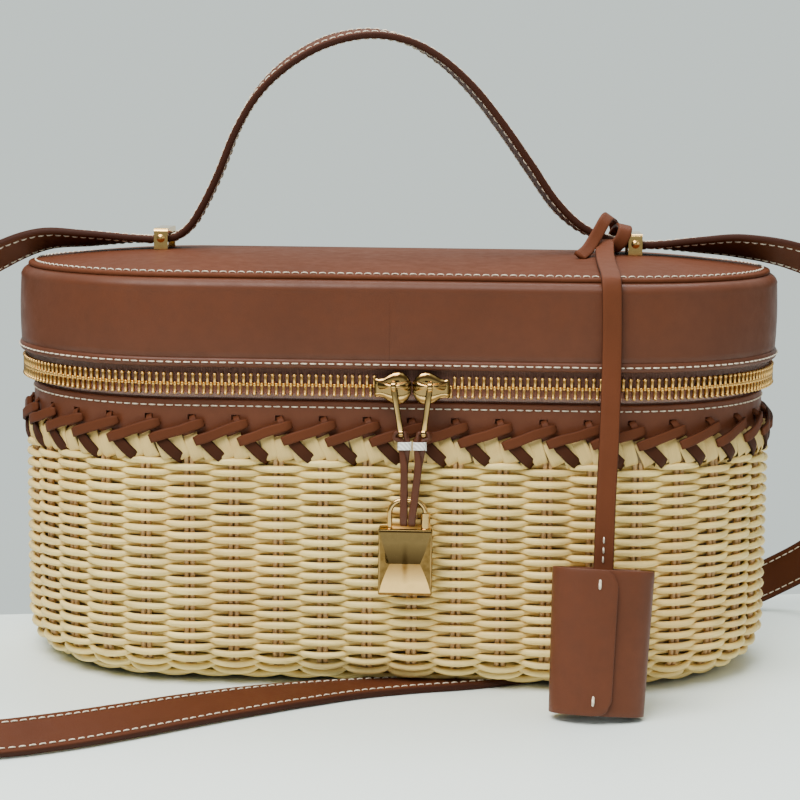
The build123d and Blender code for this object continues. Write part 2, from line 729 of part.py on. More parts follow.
STRAP_DRAWN = [
    # through the left staple and up the handle
    (-STAPLE_X, 0, 148.1, 0, 1, 0),
    (-79, 0, 149.4, 0, 1, 0.03),
    (-74.5, 0, 153, 0, 1, 0.07),
    (-69.8, 0, 160.5, 0, 1, 0.12),
    (-64.5, 0, 171.5, 0, 1, 0.16),
    (-57.5, 0, 188.5, 0, 1, 0.2),
    (-49.5, 0, 201.5, 0, 1, 0.22),
    (-38.7, 0, 211.5, 0, 1, 0.22),
    (-25, 0, 218.8, 0, 1, 0.2),
    (-10, 0, 221.4, 0, 1, 0.12),
    (3, 0, 218.8, 0, 1, 0.0),
    (14, 0, 212.8, 0, 1, -0.1),
    (26, 0, 202.0, 0, 1, -0.2),
    (37, 0, 188.3, 0, 1, -0.27),
    (47, 0, 174.3, 0, 1, -0.3),
    (56, 0, 161.8, 0, 1, -0.24),
    (64.5, 0, 154.3, 0, 1, -0.12),
    (73, 0, 150.5, 0, 1, -0.03),
    # through the right staple and down outside the basket
    (STAPLE_X, 0, 148.2, 0, 1, 0),
    (95, 0, 148.1, 0, 1, -0.1),
    (108, 0, 148.2, 0, 1, -0.34),
    (122, 0, 148.0, 0, 1, -0.6),
    (143, 0, 144.0, 0, 1, -0.8),
    (162, 3, 133.5, 0, 1, -0.7),
    (177, 11, 115, 0, 1, -0.45),
    (186, 25, 91, -0.1, 1, -0.2),
    (188, 42, 64, -0.4, 0.85, 0.2),
    (178, 58, 39, -0.55, 0.6, 0.5),
    (162, 67.5, 22, -0.5, 0.35, 0.75),
    (145, 70.5, 11.4, -0.38, 0.3, 0.85),
    (129, 65.0, 4.9, -0.45, 0.65, 0.45),
    (119, 59.0, 1.9, -0.55, 0.7, 0.15),
    # under the base
    (109, 47.0, FLAT, -0.7, 0.65, 0),
    (98, 27.0, FLAT, -0.85, 0.5, 0),
    (87, 6, FLAT, -0.85, 0.5, 0),
    (70, -20, FLAT, -0.7, 0.72, 0),
    (49, -40.5, FLAT, -0.5, 0.86, 0),
    (27, -52, FLAT, -0.35, 0.93, 0),
    # on the floor in front, out to the left
    (8, -58.5, FLAT, -0.33, 0.94, 0),
    tilted(-10, -66.5, -0.45, 0.89, 4),
    tilted(-27, -77.5, -0.55, 0.83, 11),
    tilted(-45, -91, -0.6, 0.8, 18),
    tilted(-63, -105.5, -0.62, 0.78, 23),
    tilted(-80, -119.5, -0.6, 0.8, 26),
    tilted(-97, -132, -0.5, 0.87, 28),
    tilted(-115, -141.5, -0.35, 0.94, 28),
    tilted(-136, -147, -0.12, 1, 28),
    tilted(-158, -145, 0.35, 0.94, 28),
    tilted(-178, -134, 0.65, 0.75, 28),
    tilted(-194, -116, 0.85, 0.5, 27),
    tilted(-203, -94, 0.97, 0.25, 22),
    tilted(-207, -70, 1, 0.05, 14),
    # up again outside the left end
    (-207.5, -48, 7.0, 1, 0.05, -0.02),
    (-206, -31, 22, 0.9, 0.35, -0.2),
    (-203, -19.5, 44, 0.65, 0.75, -0.3),
    (-197, -12, 69, 0.4, 0.9, -0.3),
    (-187.5, -7, 94, 0.2, 0.95, -0.4),
    (-174, -3.5, 116, 0.1, 0.9, -0.55),
    (-158, -1.2, 131.5, 0, 0.85, -0.7),
    (-143.9, 0, 141.2, 0, 0.82, -0.65),
    (-128, 0, 147.3, 0, 0.92, -0.5),
    (-112, 0, 147.8, 0, 1, -0.34),
    (-97, 0, 148.0, 0, 1, -0.1),
]
DRAWN_REACH = 135.0  # half length of the lid that the route above is drawn for


def past_the_ends(x):
    """The strap outside the staples keeps its distance from the ends of the lid."""
    longer = HALF_STRAIGHT + LID_RADIUS - DRAWN_REACH
    return x if abs(x) <= STAPLE_X + STAPLE_LENGTH else x + (longer if x > 0 else -longer)


STRAP_ROUTE = [(past_the_ends(x), *rest) for x, *rest in STRAP_DRAWN]


def shoulder_strap():
    return ribbon(STRAP_ROUTE, STRAP_WIDTH, STRAP_THICKNESS, closed=True)


# ---------------------------------------------------------------- key bell and thong
def bell_frame():
    """The bell's own frame: its base middle, leaning back along the thong and a little aside."""
    return Pos(BELL_X, BELL_BASE_Y, BELL_BASE_Z) * Rot(-BELL_LEAN_BACK, BELL_LEAN_SIDE, 0)


def in_bell(x, y, z):
    """A point given in the bell's frame."""
    place = bell_frame() * Pos(x, y, z)
    return tuple(place.position)


def oval_tube(grow):
    """A tapering flattened tube, grown outwards by a wall."""
    base = SlotOverall(BELL_BASE_WIDTH + 2 * grow, BELL_DEPTH + 2 * grow)
    top = SlotOverall(BELL_TOP_WIDTH + 2 * grow, BELL_DEPTH + 2 * grow)
    return loft([base, Pos(0, 0, BELL_HEIGHT) * top])


def key_bell():
    """Leather wrapped into a flat tube, with a front flap that overlaps it."""
    inner = -BELL_LEATHER
    wall = oval_tube(0) - oval_tube(inner)
    flap_width = BELL_TOP_WIDTH * 0.45
    flap = Pos(-flap_width * 0.25, -BELL_DEPTH / 2 - BELL_LEATHER / 2, 0.8) * Box(
        flap_width, BELL_LEATHER, BELL_HEIGHT - 1.6, align=ON_BASE
    )
    flap = fillet(flap.edges().filter_by(Axis.Y), 3.0)
    return bell_frame() * (wall + flap)


def thong_top_z(y):
    """Height of the thong's middle where it lies on the crowned lid."""
    return crown_z(-y) + THONG / 2 + FIT


def key_thong():
    """The thong, hitched round the strap, over the lid's edge and down into the bell."""
    hang = LID_RADIUS + HEM_PROUD + FIT + THONG / 2
    level = (1, 0, 0)
    end = in_bell(0, 0, 22)
    behind = BELL_DEPTH / 2 - BELL_LEATHER - THONG / 2 - FIT
    mouth = in_bell(0, behind, BELL_HEIGHT)
    route = [
        (72.5, -12.0, 147.6, *level),
        (72.3, -22, thong_top_z(-22) + 0.5, *level),
        (72.1, -36, thong_top_z(-36), *level),
        (72.2, 15 - LID_RADIUS, thong_top_z(15 - LID_RADIUS), *level),
        (72.4, 4.5 - LID_RADIUS, thong_top_z(5 - LID_RADIUS) + 0.2, *level),
        (72.6, -hang + 0.6, LID_TOP_Z - 0.6, *level),
        (72.9, -hang, LID_TOP_Z - 8, *level),
        (73.1, -hang - 0.1, 121, *level),
        (73.0, -hang - 2.1, 105, *level),
        (72.6, -hang - 5.3, 88, *level),
        (71.8, -hang - 8.6, 68, *level),
        (*mouth, *level),
        (*in_bell(0, behind * 0.65, 36), *level),
        (*end, *level),
    ]
    strip = ribbon(route, THONG_WIDTH, THONG)
    hitch = Rot(0, 22, 0) * (
        Box(7.0, STRAP_WIDTH + 4.6, STRAP_THICKNESS + 4.2) - Box(9.0, STRAP_WIDTH + 1.4, STRAP_THICKNESS + 1.2)
    )
    hitch = Pos(73.0, 0, 150.5) * hitch
    tail = Pos(72.5, -10.8, 147.6) * Box(THONG_WIDTH, 3.2, THONG)
    eye = Pos(*in_bell(0, 0, 24.6)) * Rot(90 - BELL_LEAN_BACK, 0, 0) * Cylinder(1.1, 8)
    return (Part() + strip + tail + hitch) - eye


def key_ring():
    """A wire ring that joins the key to the thong's end."""
    place = bell_frame() * Pos(0, 0, KEY_RING_Z) * Rot(0, 90, 0)
    return place * Torus(KEY_RING_RADIUS, KEY_RING_WIRE)


def padlock_key():
    """A small flat key: round bow, shank and two bits."""
    bow = Pos(0, 0, 0) * Cylinder(3.8, 1.2) - Cylinder(1.2, 4)
    shank = Pos(0, -KEY_LENGTH / 2, 0) * Box(1.8, KEY_LENGTH - 6, 1.2)
    bits = Pos(1.5, -KEY_LENGTH + 4.5, 0) * Box(2.4, 2.0, 1.2)
    flat = bow + shank + bits
    return bell_frame() * Pos(0, 0, KEY_BOW_Z) * Rot(90, 0, 0) * flat


# ---------------------------------------------------------------- all nodes
save("woven_basket", woven_basket())
save("basket_rim", basket_rim())
save("rim_lacing", rim_lacing())
save("lower_collar", lower_collar())
save("basket_lining", basket_lining())
save("zip_tape_lower", zip_tape_lower())
save("zip_teeth_lower", *zip_teeth(LOWER_TAPE_Z - TOOTH_HEIGHT, 0.5))
save("back_hinge_strip", back_hinge_strip())
save("shoulder_strap", shoulder_strap())
save("lid_top_panel", lid_top_panel())
save("lid_side_band", lid_side_band())
save("lid_hem", lid_hem())
save("lid_board", lid_board())
save("lid_lining", lid_lining())
save("zip_tape_upper", zip_tape_upper())
save("zip_teeth_upper", *zip_teeth(UPPER_TAPE_Z, 0.0))
save("loop_rivet_caps", *loop_rivet_caps())
save("key_thong", key_thong())
save("key_ring", key_ring())
save("padlock_key", padlock_key())
save("padlock_body", padlock_body())
save("padlock_shackle", padlock_shackle())
save("shackle_sleeve", shackle_sleeve())
save("lock_cylinder", lock_cylinder())
save("key_bell", key_bell())
for suffix, hand in (("left", -1), ("right", 1)):
    save(f"strap_loop_{suffix}", strap_loop(hand))
    save(f"zip_slider_{suffix}", zip_slider(hand))
    save(f"zip_pull_{suffix}", zip_pull(hand))
    save(f"pull_cord_{suffix}", pull_cord(hand))
    save(f"cord_binding_{suffix}", cord_binding(hand))
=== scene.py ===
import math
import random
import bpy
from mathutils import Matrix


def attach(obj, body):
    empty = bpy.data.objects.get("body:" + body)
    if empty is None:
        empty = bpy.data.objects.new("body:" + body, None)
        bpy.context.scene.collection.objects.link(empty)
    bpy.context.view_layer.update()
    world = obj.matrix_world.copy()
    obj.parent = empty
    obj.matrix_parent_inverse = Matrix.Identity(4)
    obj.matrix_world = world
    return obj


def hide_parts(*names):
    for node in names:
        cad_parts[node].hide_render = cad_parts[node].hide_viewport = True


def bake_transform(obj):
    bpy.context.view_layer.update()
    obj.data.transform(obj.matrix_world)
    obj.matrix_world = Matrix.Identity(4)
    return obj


bl_info = {
    "name": "Basket Box Bag",
    "version": (1, 0, 0),
    "blender": (4, 5, 0),
    "location": "View3D > Sidebar > Basket Bag",
    "description": "Builds the basket, lid, zip, strap and key bell of a basket box bag",
    "category": "Add Mesh",
}

import bmesh
import bpy
from mathutils import Euler, Matrix, Vector, noise

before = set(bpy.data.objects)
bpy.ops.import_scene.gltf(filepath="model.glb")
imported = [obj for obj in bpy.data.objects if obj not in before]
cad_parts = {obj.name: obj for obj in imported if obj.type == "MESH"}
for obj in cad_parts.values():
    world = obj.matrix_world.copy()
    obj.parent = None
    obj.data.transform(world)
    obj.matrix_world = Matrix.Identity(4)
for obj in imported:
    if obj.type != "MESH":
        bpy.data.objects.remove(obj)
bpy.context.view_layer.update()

MM = 0.001
HALF = 0.070  # half of each straight side; the round ends add their radius
COLLAR_R = 0.0606
RIM_LOW, RIM_HIGH = 0.0785, 0.0860
HOLES = 45  # for the lace, once round the collar
TAPE_R, TEETH_R, TEETH_Z = 0.063, 0.0636, 0.1040
SLIDERS_REACH = 0.0118  # no teeth this near to the middle between the sliders
HINGE_REACH = 0.0617  # no teeth this near to the middle of the back
SLIDER_X = 0.0077  # where the two sliders meet
PULL_STANCE = 0.006  # from there to each slider's pin
PIN_Y, PIN_Z = -0.0684, 0.1046
LOCK_X, LOCK_TOP = 0.0062, 0.0574
STRAP_HALF_WIDTH, STRAP_HALF_THICK = 0.0075, 0.00118
STRAP_SEAM = 0.0055  # each row of stitches, from the strap's middle
THONG_HALF_WIDTH, THONG_HALF_THICK = 0.0033, 0.0008
BEVEL = {"offset_type": "OFFSET", "profile": 0.5, "affect": "EDGES", "material": -1}
BELL_AT = Matrix.Translation((0.0695, -0.0900, 0.0014)) @ Euler(
    (math.radians(-10), math.radians(2.3), 0)
).to_matrix().to_4x4()


# ---------------------------------------------------------------- settings
class BagSizes(bpy.types.PropertyGroup):
    """Sizes that set the scale of the handwork."""

    stake_pairs: bpy.props.IntProperty(
        name="Stake pairs", description="Pairs of stakes round the basket", default=44, min=8,
    )
    row_pitch: bpy.props.FloatProperty(
        name="Row pitch", description="Height from one weaver to the next", default=0.00192,
        subtype="DISTANCE", unit="LENGTH",
    )
    weaver_radius: bpy.props.FloatProperty(
        name="Weaver", description="Radius of a weaver at its bulge", default=0.00121,
        subtype="DISTANCE", unit="LENGTH",
    )
    cane_width: bpy.props.FloatProperty(
        name="Cane", description="Width of the flat cane on the rim", default=0.0050,
        subtype="DISTANCE", unit="LENGTH",
    )
    lace_width: bpy.props.FloatProperty(
        name="Lace", description="Width of the leather lace", default=0.0035,
        subtype="DISTANCE", unit="LENGTH",
    )
    stitch_pitch: bpy.props.FloatProperty(
        name="Stitch pitch", description="Length from one stitch to the next", default=0.0030,
        subtype="DISTANCE", unit="LENGTH",
    )
    tooth_pitch: bpy.props.FloatProperty(
        name="Tooth pitch", description="Length from one zip tooth to the next", default=0.00241,
        subtype="DISTANCE", unit="LENGTH",
    )


class BagColours(bpy.types.PropertyGroup):
    """Colours of the finishes, as linear values."""

    leather: bpy.props.FloatVectorProperty(
        name="Leather", description="Saddle leather", subtype="COLOR", size=3,
        default=(0.100, 0.0295, 0.0125),
    )
    leather_edge: bpy.props.FloatVectorProperty(
        name="Leather edge", description="Edge paint and inner face", subtype="COLOR", size=3,
        default=(0.040, 0.0135, 0.0080),
    )
    rattan: bpy.props.FloatVectorProperty(
        name="Rattan", description="Peeled rattan core", subtype="COLOR", size=3,
        default=(0.87, 0.645, 0.235),
    )
    stake: bpy.props.FloatVectorProperty(
        name="Stakes", description="Stakes behind the weavers", subtype="COLOR", size=3,
        default=(0.58, 0.37, 0.17),
    )
    cane: bpy.props.FloatVectorProperty(
        name="Flat cane", description="Cane round the rim", subtype="COLOR", size=3,
        default=(0.66, 0.455, 0.155),
    )
    thread: bpy.props.FloatVectorProperty(
        name="Thread", description="Waxed sewing thread", subtype="COLOR", size=3,
        default=(0.80, 0.68, 0.52),
    )
    gold: bpy.props.FloatVectorProperty(
        name="Gold", description="Pale gold plating", subtype="COLOR", size=3,
        default=(0.82, 0.51, 0.185),
    )
    tape: bpy.props.FloatVectorProperty(
        name="Zip tape", description="Woven zip tape", subtype="COLOR", size=3,
        default=(0.105, 0.042, 0.027),
    )


# ---------------------------------------------------------------- materials
class Nodes:
    """Adds shader nodes to a tree by name."""

    def __init__(self, tree):
        self.tree = tree

    def add(self, kind, settings=None, **inputs):
        """A node with its inputs set or linked by name, or by number as i0, i1 and so on."""
        node = self.tree.nodes.new("ShaderNode" + kind)
        for key, value in (settings or {}).items():
            setattr(node, key, value)
        for key, value in inputs.items():
            numbered = key[0] == "i" and key[1:].isdigit()
            socket = node.inputs[int(key[1:]) if numbered else key.replace("_", " ")]
            if isinstance(value, bpy.types.NodeSocket):
                self.tree.links.new(value, socket)
            else:
                socket.default_value = value
        return node

    def coordinates(self, uv=False, scale=(1, 1, 1), turn=(0, 0, 0)):
        source = self.add("TexCoord").outputs["UV" if uv else "Object"]
        return self.add("Mapping", Vector=source, Scale=scale, Rotation=turn).outputs[0]

    def noise(self, where, scale, detail=3.0, roughness=0.55):
        return self.add(
            "TexNoise", Vector=where, Scale=scale, Detail=detail, Roughness=roughness,
        ).outputs["Fac"]

    def mix(self, share, first, second):
        """Colour between first and second; share is a socket or a number."""
        node = self.add("Mix", {"data_type": "RGBA"})
        for index, value in ((0, share), (6, first), (7, second)):
            if isinstance(value, bpy.types.NodeSocket):
                self.tree.links.new(value, node.inputs[index])
            elif index:
                node.inputs[index].default_value = (*tuple(value)[:3], 1.0)
            else:
                node.inputs[index].default_value = value
        return node.outputs[2]

    def span(self, value, low, high, to_low=0.0, to_high=1.0):
        """Maps a value from one range onto another, held at the ends."""
        return self.add(
            "MapRange", **{
                "Value": value, "From_Min": low, "From_Max": high, "To_Min": to_low,
                "To_Max": to_high,
            }
        ).outputs[0]

    def maths(self, operation, *values):
        node = self.add("Math", {"operation": operation})
        for index, value in enumerate(values):
            if isinstance(value, bpy.types.NodeSocket):
                self.tree.links.new(value, node.inputs[index])
            else:
                node.inputs[index].default_value = value
        return node.outputs[0]


class Finish(Nodes):
    """A material; values go straight onto the shader's sockets."""

    def __init__(self, name, colour=(0.5, 0.5, 0.5), roughness=0.5, **sockets):
        self.material = bpy.data.materials.new(name)
        self.material.use_nodes = True
        super().__init__(self.material.node_tree)
        self.shader = self.tree.nodes["Principled BSDF"]
        self.set("Base Color", colour)
        self.set("Roughness", roughness)
        for socket, value in sockets.items():
            self.set(socket.replace("_", " "), value)

    def set(self, socket, value):
        if isinstance(value, bpy.types.NodeSocket):
            self.tree.links.new(value, self.shader.inputs[socket])
        elif isinstance(value, (tuple, list)) or hasattr(value, "__len__"):
            values = tuple(value)
            self.shader.inputs[socket].default_value = values if len(values) == 4 else (
                *values, 1.0,
            )
        else:
            self.shader.inputs[socket].default_value = value

    def bump(self, height, distance, strength=1.0, after=None):
        inputs = {"Height": height, "Distance": distance, "Strength": strength}
        if after:
            inputs["Normal"] = after
        out = self.add("Bump", **inputs).outputs[0]
        self.set("Normal", out)
        return out


def shade(colour, factor):
    """The colour, lighter or darker by a factor."""
    return tuple(min(1.0, c * factor) for c in tuple(colour)[:3])


def leather(name, colour, gloss=0.42, grain=1.0, shine=0.24):
    """Smooth saddle leather: fine pebble grain, soft mottling and a waxed sheen."""
    finish = Finish(name, Specular_IOR_Level=shine)
    where = finish.coordinates()
    cloud = finish.noise(where, 26, 4)
    fine = finish.noise(where, 240, 3)
    tone = finish.mix(finish.span(cloud, 0.3, 0.7), shade(colour, 0.90), shade(colour, 1.12))
    tone = finish.mix(finish.span(fine, 0.35, 0.75, 0.0, 0.35), tone, shade(colour, 0.72))
    finish.set("Base Color", tone)
    finish.set("Roughness", finish.span(fine, 0.2, 0.8, gloss - 0.06, gloss + 0.10))
    pebble = finish.add(
        "TexVoronoi", {"feature": "SMOOTH_F1"}, Vector=where, Scale=1500.0, Smoothness=0.6,
    )
    first = finish.bump(pebble.outputs["Distance"], 0.00006, 0.35 * grain)
    finish.bump(cloud, 0.0006, 0.25 * grain, first)
    return finish.material


def strap_leather(name, colour, edge, half_width):
    """Strap leather: its UV map runs along and across, and the painted edges are darker."""
    finish = Finish(name, Specular_IOR_Level=0.08)
    where = finish.coordinates()
    cloud = finish.noise(where, 30, 4)
    fine = finish.noise(where, 260, 3)
    tone = finish.mix(finish.span(cloud, 0.3, 0.7), shade(colour, 0.88), shade(colour, 1.12))
    across = finish.add("SeparateXYZ", Vector=finish.add("TexCoord").outputs["UV"]).outputs[1]
    rim = finish.span(finish.maths("ABSOLUTE", across), half_width * 0.90, half_width * 0.985)
    tone = finish.mix(rim, tone, edge)
    finish.set("Base Color", tone)
    finish.set("Roughness", finish.span(fine, 0.2, 0.8, 0.46, 0.60))
    pebble = finish.add(
        "TexVoronoi", {"feature": "SMOOTH_F1"}, Vector=where, Scale=1500.0, Smoothness=0.6,
    )
    first = finish.bump(pebble.outputs["Distance"], 0.00006, 0.4)
    finish.bump(cloud, 0.0005, 0.25, first)
    return finish.material


def rattan(name, colour, along_rows=True):
    """Peeled rattan: each row and stretch has its own tone, with fine lengthwise pores."""
    finish = Finish(name, Coat_Weight=0.10, Coat_Roughness=0.35, Specular_IOR_Level=0.40)
    where = finish.coordinates()
    patch = finish.noise(finish.coordinates(scale=(55, 55, 520)), 1.0, 2)
    broad = finish.noise(where, 14, 2)
    streak = finish.noise(
        finish.coordinates(scale=(160, 160, 2600) if along_rows else (2600, 2600, 160)), 1.0, 3
    )
    tone = finish.mix(finish.span(patch, 0.30, 0.70), shade(colour, 0.78), shade(colour, 1.18))
    honey = (colour[0] * 0.92, colour[1] * 0.76, colour[2] * 0.62)
    tone = finish.mix(finish.span(broad, 0.45, 0.72, 0.0, 0.45), tone, honey)
    tone = finish.mix(finish.span(streak, 0.52, 0.80, 0.0, 0.5), tone, shade(colour, 0.62))
    finish.set("Base Color", tone)
    finish.set("Roughness", finish.span(streak, 0.2, 0.8, 0.36, 0.58))
    finish.bump(streak, 0.00010, 0.5)
    return finish.material


def flat_cane(name, colour):
    """Flat peeled cane: straight fibres along the strip, cracks and tan specks."""
    finish = Finish(name, Specular_IOR_Level=0.45)
    fibre = finish.noise(finish.coordinates(uv=True, scale=(60, 5200, 1)), 1.0, 3)
    patch = finish.noise(finish.coordinates(scale=(120, 120, 90)), 1.0, 3)
    crack = finish.noise(finish.coordinates(uv=True, scale=(90, 1300, 1)), 1.0, 2, 0.4)
    tone = finish.mix(finish.span(fibre, 0.3, 0.7), shade(colour, 0.84), shade(colour, 1.10))
    tan = (colour[0] * 0.78, colour[1] * 0.62, colour[2] * 0.48)
    tone = finish.mix(finish.span(patch, 0.52, 0.75, 0.0, 0.5), tone, tan)
    tone = finish.mix(finish.span(crack, 0.72, 0.78), tone, shade(colour, 0.25))
    finish.set("Base Color", tone)
    finish.set("Roughness", finish.span(fibre, 0.2, 0.8, 0.42, 0.62))
    finish.bump(fibre, 0.00012, 0.7)
    return finish.material


def plated(name, colour, roughness=0.13, wear=0.5):
    """Polished plating with faint rub marks."""
    finish = Finish(name, Metallic=1.0)
    where = finish.coordinates()
    rub = finish.noise(where, 420, 4)
    hair = finish.noise(finish.coordinates(scale=(900, 900, 7000)), 1.0, 2)
    finish.set(
        "Base Color",
        finish.mix(finish.span(rub, 0.35, 0.75), shade(colour, 1.0), shade(colour, 0.86)),
    )
    finish.set("Roughness", finish.span(rub, 0.3, 0.8, roughness, roughness + 0.12 * wear))
    finish.bump(hair, 0.00001, 0.15 * wear)
    return finish.material


def plating_with_painted_reflection(name, colour):
    """Mirror plating with a painted reflection: painted darker where the hollow faces turn away
    from the front.
    """
    finish = Finish(name, Metallic=1.0, roughness=0.07)
    way = finish.add("SeparateXYZ", Vector=finish.add("NewGeometry").outputs["Normal"])
    turned_aside_painted_dark = finish.span(finish.maths("ABSOLUTE", way.outputs[0]), 0.10, 0.36)
    steep = finish.span(finish.maths("ABSOLUTE", way.outputs[2]), 0.16, 0.26)
    # painted reflection: faces turned towards the sides are painted a darker gold
    tone = finish.mix(turned_aside_painted_dark, colour, (colour[0] * 0.15, colour[1] * 0.13, colour[2] * 0.09))
    sloped_painted_dark = finish.maths("MULTIPLY", steep, finish.span(way.outputs[1], -0.80, -0.90))
    # painted reflection: front faces tilted up or down are painted darker too
    tone = finish.mix(sloped_painted_dark, tone, (colour[0] * 0.20, colour[1] * 0.15, colour[2] * 0.10))
    rub = finish.noise(finish.coordinates(), 420, 4)
    finish.set(
        "Base Color", finish.mix(finish.span(rub, 0.35, 0.75, 0.0, 0.25), tone, shade(colour, 0.6)),
    )
    return finish.material


def zip_cloth(name, colour):
    """Zip tape: a fine herringbone rib, read from the UV map in metres."""
    finish = Finish(name, roughness=0.82, Sheen_Weight=0.35, Sheen_Roughness=0.4)
    split = finish.add("SeparateXYZ", Vector=finish.add("TexCoord").outputs["UV"])
    zigzag = finish.maths("PINGPONG", split.outputs[0], 0.00055)
    slope = finish.maths("ADD", finish.maths("MULTIPLY", zigzag, 1.3), split.outputs[1])
    rib = finish.maths("SINE", finish.maths("MULTIPLY", slope, 2 * math.pi / 0.00050))
    weft = finish.maths("SINE", finish.maths("MULTIPLY", split.outputs[0], 2 * math.pi / 0.00055))
    height = finish.maths("ADD", rib, finish.maths("MULTIPLY", weft, 0.5))
    tone = finish.mix(finish.span(height, -0.9, 1.3), shade(colour, 0.45), shade(colour, 2.1))
    finish.set("Base Color", tone)
    finish.bump(height, 0.00008, 0.8)
    return finish.material


def cloth(name, colour, thread_pitch=0.0005):
    """Plain woven lining cloth."""
    finish = Finish(name, roughness=0.88, Sheen_Weight=0.2, Sheen_Roughness=0.5)
    split = finish.add("SeparateXYZ", Vector=finish.add("TexCoord").outputs["Object"])
    turns = 2 * math.pi / thread_pitch
    warp = finish.maths(
        "SINE",
        finish.maths("MULTIPLY", finish.maths("ADD", split.outputs[0], split.outputs[1]), turns),
    )
    weft = finish.maths("SINE", finish.maths("MULTIPLY", split.outputs[2], turns))
    height = finish.maths("MULTIPLY", warp, weft)
    cloud = finish.noise(finish.coordinates(), 60, 3)
    tone = finish.mix(finish.span(height, -1, 1), shade(colour, 0.78), shade(colour, 1.08))
    tone = finish.mix(finish.span(cloud, 0.4, 0.7, 0.0, 0.3), tone, shade(colour, 0.8))
    finish.set("Base Color", tone)
    finish.bump(height, 0.00006, 0.6)
    return finish.material


def sewing_thread(name, colour, twist=0.0006):
    """Waxed thread with a slanting ply."""
    finish = Finish(name, roughness=0.55, Sheen_Weight=0.15, Sheen_Roughness=0.4)
    where = finish.coordinates()
    ply = finish.add(
        "TexWave", {"wave_type": "BANDS", "bands_direction": "DIAGONAL"}, Vector=where,
        Scale=0.16 / twist, Distortion=1.0,
    )
    finish.set(
        "Base Color", finish.mix(ply.outputs["Fac"], shade(colour, 0.72), shade(colour, 1.08)),
    )
    finish.bump(ply.outputs["Fac"], 0.00006, 0.6)
    return finish.material


def board(name, colour):
    """Pressed fibre board."""
    finish = Finish(name, roughness=0.9)
    grit = finish.noise(finish.coordinates(), 900, 4)
    finish.set("Base Color", finish.mix(grit, shade(colour, 0.7), shade(colour, 1.2)))
    finish.bump(grit, 0.00005, 0.5)
    return finish.material


def stage_paint(name, colour, roughness):
    """Pale paint that falls off into shadow away from the bag."""
    finish = Finish(name, colour, roughness)
    where = finish.coordinates()
    far = finish.span(
        finish.add("VectorMath", {"operation": "LENGTH"}, i0=where).outputs["Value"], 0.27, 0.75,
    )
    tone = finish.mix(finish.noise(where, 3.0, 2), shade(colour, 0.985), shade(colour, 1.0))
    finish.set("Base Color", finish.mix(far, tone, shade(colour, 0.38)))
    return finish.material


# ---------------------------------------------------------------- making shapes
def sizes():
    return bpy.context.scene.bag_sizes


def colours():
    return bpy.context.scene.bag_colours


def perimeter(radius):
    """Length of the outline whose round ends have this radius."""
    return 4 * HALF + 2 * math.pi * radius


def spot(s, reference, radius, z):
    """A place on the outline: s metres from the front middle at the reference radius.

    Returns the point at the given radius and height, the outward way and the way along.
    """
    arc = math.pi * reference
    total = perimeter(reference)
    s %= total
    if s < HALF:
        x, y, a = s, -radius, 0.0
    elif s < HALF + arc:
        a = (s - HALF) / reference
        x, y = HALF + radius * math.sin(a), -radius * math.cos(a)
    elif s < 3 * HALF + arc:
        x, y, a = HALF - (s - HALF - arc), radius, math.pi
    elif s < 3 * HALF + 2 * arc:
        a = math.pi + (s - 3 * HALF - arc) / reference
        x, y = -HALF + radius * math.sin(a), -radius * math.cos(a)
    else:
        x, y, a = s - total, -radius, 0.0
    out = Vector((math.sin(a), -math.cos(a), 0))
    return Vector((x, y, z)), out, Vector((math.cos(a), math.sin(a), 0))


def stations(reference, straight=14, end=28):
    """Marks round the outline, closer together on the round ends."""
    arc = math.pi * reference
    marks = [HALF * i / (straight / 2) for i in range(int(straight / 2))]
    marks += [HALF + arc * i / end for i in range(end)]
    marks += [HALF + arc + 2 * HALF * i / straight for i in range(straight)]
    marks += [3 * HALF + arc + arc * i / end for i in range(end)]
    marks += [3 * HALF + 2 * arc + HALF * i / (straight / 2) for i in range(int(straight / 2) + 1)]
    return marks


def mapped(bm, across, along, place, uv=None):
    """A grid of cells whose corners go where place(i, j) says; uv(i, j) gives the map."""
    made = bmesh.ops.create_grid(bm, x_segments=across, y_segments=along, size=0.5)["verts"]
    span = max(v.co.x for v in made)
    cell = {}
    for v in made:
        cell[v] = (round((v.co.x / span + 1) / 2 * across), round((v.co.y / span + 1) / 2 * along))
    for v, (i, j) in cell.items():
        v.co = place(i, j)
    if uv:
        layer = bm.loops.layers.uv.verify()
        for face in {f for v in made for f in v.link_faces}:
            for loop in face.loops:
                loop[layer].uv = uv(*cell[loop.vert])
    return made


def piece(name, mesh, material, body, replaces=(), smooth=True, sharp=None):
    """Links a finished mesh as one piece that rides on a body."""
    if isinstance(mesh, bmesh.types.BMesh):
        bm, mesh = mesh, bpy.data.meshes.new(name)
        bm.to_mesh(mesh)
        bm.free()
    mesh.name = name
    mesh.materials.clear()
    for m in material if isinstance(material, (list, tuple)) else [material]:
        mesh.materials.append(m)
    mesh.polygons.foreach_set("use_smooth", [smooth] * len(mesh.polygons))
    if sharp:
        mesh.set_sharp_from_angle(angle=math.radians(sharp))
    obj = bpy.data.objects.new(name, mesh)
    bpy.context.scene.collection.objects.link(obj)
    if body:
        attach(obj, body)
    if replaces:
        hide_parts(*replaces)
    return obj


def band(bm, section, reference=None, straight=14, end=28, closed=True, shift=None):
    """Carries a (radius, height) section round the outline."""
    reference = reference or max(r for r, _ in section)
    marks = stations(reference, straight, end)
    ring = list(section) + ([section[0]] if closed else [])
    lengths = [0.0]
    for (r0, z0), (r1, z1) in zip(ring, ring[1:]):
        lengths.append(lengths[-1] + math.hypot(r1 - r0, z1 - z0))

    def place(i, j):
        r, z = ring[j]
        if shift:
            r, z = shift(marks[i], r, z)
        return spot(marks[i], reference, r, z)[0]

    made = mapped(bm, len(marks) - 1, len(ring) - 1, place, lambda i, j: (marks[i], lengths[j]))
    bmesh.ops.remove_doubles(bm, verts=made, dist=1e-6)


